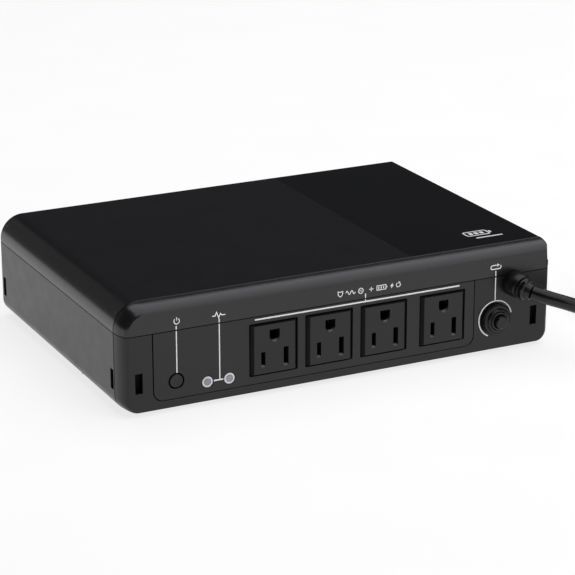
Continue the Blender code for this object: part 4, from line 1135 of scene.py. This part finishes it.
def make_plug():
    x, y, z = PLUG
    w = PLUG_WIDE / 2
    h = PLUG_HIGH / 2
    sections = (
        (0.0, 4.6, 4.6, 4.5), (0.4, 5.0, 5.0, 4.9), (4.0, 5.25, 5.25, 5.1), (8.0, 5.6, 5.6, 5.3),
        (12.0, 6.0, 5.9, 5.5), (16.0, 6.6, 6.4, 5.8), (18.0, 7.6, 7.3, 6.0), (20.0, 9.0, 8.6, 6.0),
        (23.0, 10.8, 10.0, 6.0), (26.0, 12.2, 11.2, 6.0), (29.0, 13.1, 11.75, 5.6), (32.0, w, h, 5.2),
        (PLUG_FACE - 1.5, w, h, 5.0), (PLUG_FACE - 0.6, w - 0.3, h - 0.3, 4.8),
        (PLUG_FACE, w - 1.2, h - 1.2, 4.0),
    )
    rings = []
    for out, wide, high, radius in sections:
        outline = rounded_outline((x - wide, z - high), (x + wide, z + high), (radius,) * 4, 8)
        rings.append([(a, y + out, b) for a, b in outline])
    shell = to_object("plug_shell", loft(rings), "cord_pvc")
    grips = bmesh.new()
    relief = bmesh.new()
    for k in range(4):
        at = y + 30.0 + 4.0 * k
        box_pair(x, (w - 0.5, w + 1), (at, at + 1.6), (z - 6.0, z + 6.0), grips)
        at = y + 2.4 + 3.0 * k
        box_pair(x, (4.3, 8), (at, at + 1.1), (z - 7, z + 7), relief)
    cut(shell, grips)
    cut(shell, relief)
    face = y + PLUG_FACE
    root = 4.0
    pockets = bmesh.new()
    for side in (-SLOT_OFF, SLOT_OFF):
        box(
            (x + side - 0.75 - GAP, face - root - GAP, PLUG_BLADES_Z - 3.2 - GAP),
            (x + side + 0.75 + GAP, face + 2, PLUG_BLADES_Z + 3.2 + GAP), pockets,
        )
    cut(shell, pockets)
    ground_z = PLUG_BLADES_Z + GROUND_Z - SLOT_Z
    cut(shell, rod(2.4 + GAP, (x, 0, ground_z), face - root - GAP, face + 2))
    hand_over(shell, "plug_body", sharp=40)
    pieces = [shell]
    for name, side in (("neutral", -SLOT_OFF), ("line", SLOT_OFF)):
        node = f"plug_{name}_blade"
        low, high = bench_box(node)
        outline = [
            (face - root, low.z), (high.y - 1.6, low.z), (high.y - 0.4, low.z + 1.0), (high.y, low.z + 2.0),
            (high.y, high.z - 2.0), (high.y - 0.4, high.z - 1.0), (high.y - 1.6, high.z),
            (face - root, high.z),
        ]
        blade = to_object(f"plug_blade_{name}", plate(outline, low.x, high.x, "X"), "nickel")
        cut(blade, hole_across(x + side, high.y - 4.2, PLUG_BLADES_Z))
        soften(blade, 0.22, lambda p: True)
        pieces.append(hand_over(blade, node))
    end = face + BLADE_OUT
    pin = [
        (0, face - root), (2.4, face - root), (2.4, end + 2.0), (2.25, end + 2.6), (1.9, end + 3.4),
        (1.5, end + 3.9), (0.9, end + 4.25), (0, end + 4.4),
    ]
    earth = turned(pin, (x, 0, ground_z), 48)
    pieces.append(piece("plug_earth_pin", earth, "nickel", "plug_ground_pin"))
    return pieces


def hole_across(x, y, z):
    """A round cutter along X."""
    bm = rod(1.6, (0, 0, 0), -3, 3, 32, "Z")
    spin = Matrix.Translation((x, y, z)) @ Matrix.Rotation(radians(90), 4, "Y")
    bmesh.ops.transform(bm, matrix=spin, verts=bm.verts[:])
    return bm


# --- white print ---

LINE = 0.55
THIN = 0.42


def front(u, v, lift):
    return (u, 0.02 - lift, v)


def top(u, v, lift):
    return (u, v, HEIGHT - 0.02 + lift)


def patch(bm, outline, onto=front):
    """A filled printed shape."""
    loft([[onto(u, v, lift) for u, v in outline] for lift in (0.0, PRINT_PROUD + 0.02)], bm)


def stroke(bm, points, wide=LINE, onto=front, closed=False):
    """A printed line through points, with mitred corners."""
    points = [Vector(point) for point in points]
    count = len(points)
    sides = ([], [])
    for k, point in enumerate(points):
        before = points[k - 1] if k or closed else point
        after = points[(k + 1) % count] if k < count - 1 or closed else point
        into = (point - before).normalized() if (point - before).length else (after - point).normalized()
        out = (after - point).normalized() if (after - point).length else into
        mitre = Vector((-(into.y + out.y), into.x + out.x)).normalized()
        straight = Vector((-into.y, into.x))
        reach = wide / 2 / max(mitre.dot(straight), 0.35)
        sides[0].append(point + mitre * reach)
        sides[1].append(point - mitre * reach)
    if closed:
        for k in range(count):
            after = (k + 1) % count
            patch(bm, (sides[0][k], sides[0][after], sides[1][after], sides[1][k]), onto)
    else:
        patch(bm, sides[0] + sides[1][::-1], onto)


def arc(centre, radius, start, end, step=6.0):
    """Points on a round line, angles in degrees."""
    count = max(2, round(abs(end - start) / step))
    return [around(centre, radius, radians(start + (end - start) * k / count)) for k in range(count + 1)]


def upright(bm, x, high, low, wide=LINE):
    """A vertical line that breaks where it crosses the seam under the cover."""
    edge = SEAM_GAP / 2 + 0.2
    if high > SEAM_Z > low:
        stroke(bm, ((x, high), (x, SEAM_Z + edge)), wide)
        high = SEAM_Z - edge
    stroke(bm, ((x, high), (x, low)), wide)


def draw_power(bm):
    ring = (BUTTON[0] + 0.6, 45.1)
    stroke(bm, arc(ring, 1.45, 130, 410), THIN)
    stroke(bm, ((ring[0], ring[1] + 0.3), (ring[0], ring[1] + 2.0)), THIN)
    upright(bm, BUTTON[0] + 0.3, 42.7, BUTTON[1] + BUTTON_HOLE + 0.15)


def draw_status(bm):
    left, right = LENSES[0][0], LENSES[1][0]
    beat = ((48.6, 44.5), (50.1, 44.5), (50.9, 46.3), (52.0, 43.3), (53.0, 45.4), (53.6, 44.5), (55.7, 44.5))
    stroke(bm, beat, 0.5)
    upright(bm, (left + right) / 2 + 0.7, 42.7, 10.9)
    stroke(bm, ((left + LENS_RADIUS + 0.5, 10.6), (right - LENS_RADIUS - 0.5, 10.6)), 0.7)


def draw_outlets(bm):
    stroke(bm, ((71.8, 38.85), (189.0, 38.85)), 0.75)
    upright(bm, 133.9, 43.1, 39.3)
    draw_outlet_icons(bm)


def draw_reset(bm):
    x, z = BREAKER[0] - 0.4, 45.7
    ends = arc((x - 2, z), 1.05, 90, 270) + arc((x + 2, z), 1.05, -90, 45)
    stroke(bm, [(x + 0.9, z + 1.05)] + ends, 0.55)
    patch(bm, ((x + 0.8, z + 1.95), (x + 2.2, z + 1.05), (x + 0.8, z + 0.15)))
    upright(bm, x, 43.6, BREAKER[1] + 10.0)
    stroke(bm, arc(BREAKER, 9.85, 12, 245, 4.0), 0.65)


def draw_outlet_icons(bm):
    """A row of plain signs over the outlets: guard, wave, socket, plus, battery, bolt and cycle."""
    z = 45.0
    shield = (
        (118.2, z + 1.3), (119.5, z + 1.0), (120.8, z + 1.3), (120.8, z), (120.4, z - 0.8), (119.5, z - 1.5),
        (118.6, z - 0.8), (118.2, z),
    )
    stroke(bm, shield, THIN, closed=True)
    wave = [(122.6 + 0.3 * k, z + 1.0 * sin(tau * k / 9)) for k in range(19)]
    stroke(bm, wave, THIN)
    stroke(bm, arc((131.2, z), 1.35, 0, 354), THIN, closed=True)
    for side in (-0.5, 0.5):
        stroke(bm, ((131.2 + side, z - 0.45), (131.2 + side, z + 0.5)), 0.34)
    stroke(bm, ((136.0, z), (138.4, z)), THIN)
    stroke(bm, ((137.2, z - 1.2), (137.2, z + 1.2)), THIN)
    battery = ((140.4, z - 1.15), (145.6, z - 1.15), (145.6, z + 1.15), (140.4, z + 1.15))
    stroke(bm, battery, THIN, closed=True)
    stroke(bm, ((146.15, z - 0.5), (146.15, z + 0.5)), THIN)
    for k in range(3):
        stroke(bm, ((141.5 + 1.4 * k, z - 0.6), (141.5 + 1.4 * k, z + 0.6)), 0.6)
    bolt = (
        (149.6, z + 1.5), (148.0, z - 0.2), (148.9, z - 0.2), (148.5, z - 1.5), (150.2, z + 0.35),
        (149.3, z + 0.35),
    )
    patch(bm, bolt)
    stroke(bm, arc((152.8, z), 1.15, 60, -240), THIN)
    patch(bm, ((152.9, z + 1.8), (154.1, z + 1.15), (153.0, z + 0.45)))


def draw_cover_mark(bm):
    """A plain battery sign with a bar beneath it."""
    left, right = 209.5, 223.0
    low, high = 26.6, 33.0
    outline = rounded_outline((left, low), (right, high), (1.2,) * 4, 4)
    stroke(bm, outline, 0.9, top, closed=True)
    patch(bm, rounded_outline((right + 0.9, 28.3), (right + 2.1, 31.3), (0.4,) * 4, 3), top)
    for k in range(3):
        x = left + 2.2 + 3.3 * k
        patch(bm, rounded_outline((x, low + 1.6), (x + 2.2, high - 1.6), (0.3,) * 4, 2), top)
    stroke(bm, ((212.0, 22.4), (228.0, 22.4)), 1.3, top)


def make_prints():
    """Every white print is a piece of its own."""
    drawings = {
        "power": draw_power, "status": draw_status, "outlets": draw_outlets, "reset": draw_reset,
        "cover_mark": draw_cover_mark,
    }
    for name, draw in drawings.items():
        bm = bmesh.new()
        draw(bm)
        piece(f"print_{name}", bm, "white_print")


# --- stage ---

FLOOR_GLOW = 0.78


def make_floor():
    """A pale table; most of its brightness is its own glow."""
    bm = bmesh.new()
    bmesh.ops.create_circle(bm, cap_ends=True, segments=96, radius=7.0)
    mesh = bpy.data.meshes.new("floor")
    bm.to_mesh(mesh)
    bm.free()
    tree, shader = new_look(
        "floor_paper", Roughness=0.9, Specular_IOR_Level=0.1, Emission_Color=(1.0, 1.0, 1.0, 1.0),
        Emission_Strength=FLOOR_GLOW,
    )
    grain = noise(tree, coordinates(tree), 60.0, 3.0)
    stops = ((0.3, (0.29, 0.29, 0.29)), (0.7, (0.31, 0.31, 0.31)))
    fill(tree, shader, Base_Color=shades(tree, grain, *stops))
    mesh.materials.append(LOOKS["floor_paper"])
    link_new("floor", mesh)


def soft_light(name, spot, aim, size, radiance, colour=(1.0, 1.0, 1.0)):
    """A rectangular softbox of a given brightness."""
    lamp = bpy.data.lights.new(name, "AREA")
    lamp.shape = "RECTANGLE"
    lamp.size, lamp.size_y = size
    lamp.energy = radiance * pi * size[0] * size[1]
    lamp.color = colour
    made = link_new(name, lamp)
    made.visible_camera = False
    made.location = spot
    made.rotation_mode = "QUATERNION"
    made.rotation_quaternion = (Vector(aim) - Vector(spot)).to_track_quat("-Z", "Y")


def make_world():
    """Dim room light, and a pale backdrop past the floor's edge that only the camera sees."""
    world = bpy.data.worlds.new("studio")
    bpy.context.scene.world = world
    world.use_nodes = True
    tree = world.node_tree
    room = tree.nodes["Background"]
    room.inputs["Color"].default_value = (0.9, 0.92, 1.0, 1.0)
    room.inputs["Strength"].default_value = 0.05
    backdrop = add_node(tree, "Background", Color=(0.9, 0.9, 0.9, 1.0), Strength=1.0)
    path = add_node(tree, "LightPath")
    mix = add_node(tree, "MixShader")
    tree.links.new(path.outputs["Is Camera Ray"], mix.inputs[0])
    tree.links.new(room.outputs[0], mix.inputs[1])
    tree.links.new(backdrop.outputs[0], mix.inputs[2])
    tree.links.new(mix.outputs[0], tree.nodes["World Output"].inputs[0])


def make_camera():
    """The view from the left of the front, a little above the top."""
    azimuth = radians(-26.222)
    elevation = radians(19.029)
    roll = radians(-0.112)
    distance = 1142.3
    target = Vector((89.81, 0.0, 53.15))
    back = Vector((
        sin(azimuth) * cos(elevation), -cos(azimuth) * cos(elevation), sin(elevation),
    ))
    right = Vector((cos(azimuth), sin(azimuth), 0.0))
    up = back.cross(right)
    tilted_right = right * cos(roll) + up * sin(roll)
    tilted_up = up * cos(roll) - right * sin(roll)
    lens = bpy.data.cameras.new("camera")
    lens.lens = 143.77
    lens.sensor_width = 36.0
    lens.clip_end = 50.0
    camera = link_new("camera", lens)
    turn = Matrix((tilted_right, tilted_up, back)).transposed().to_4x4()
    camera.matrix_world = Matrix.Translation(place(target + back * distance)) @ turn
    bpy.context.scene.camera = camera


def make_studio():
    make_floor()
    make_world()
    make_camera()
    soft_light("overhead", (0.55, -0.05, 1.5), (0.55, -0.05, 0.0), (2.2, 2.7), 1.45, (0.98, 0.97, 1.03))
    soft_light("front_right", (1.0, -1.97, 0.86), (0.0, 0.0, 0.03), (1.7, 1.75), 1.25, (1.0, 0.99, 0.97))
    soft_light("back_left", (-1.3, 2.5, 0.75), (0.0, 0.0, 0.05), (2.4, 1.8), 0.12)
    bpy.context.scene.view_settings.view_transform = "Standard"


def build():
    make_looks()
    dress_carried_over()
    make_studio()
    make_cord(make_bush(), make_tie(), make_plug())
    make_case_shell()
    make_cover_shell()
    make_feet()
    make_panel()
    make_outlets()
    make_power_button()
    make_lenses()
    make_breaker()
    make_prints()


build()
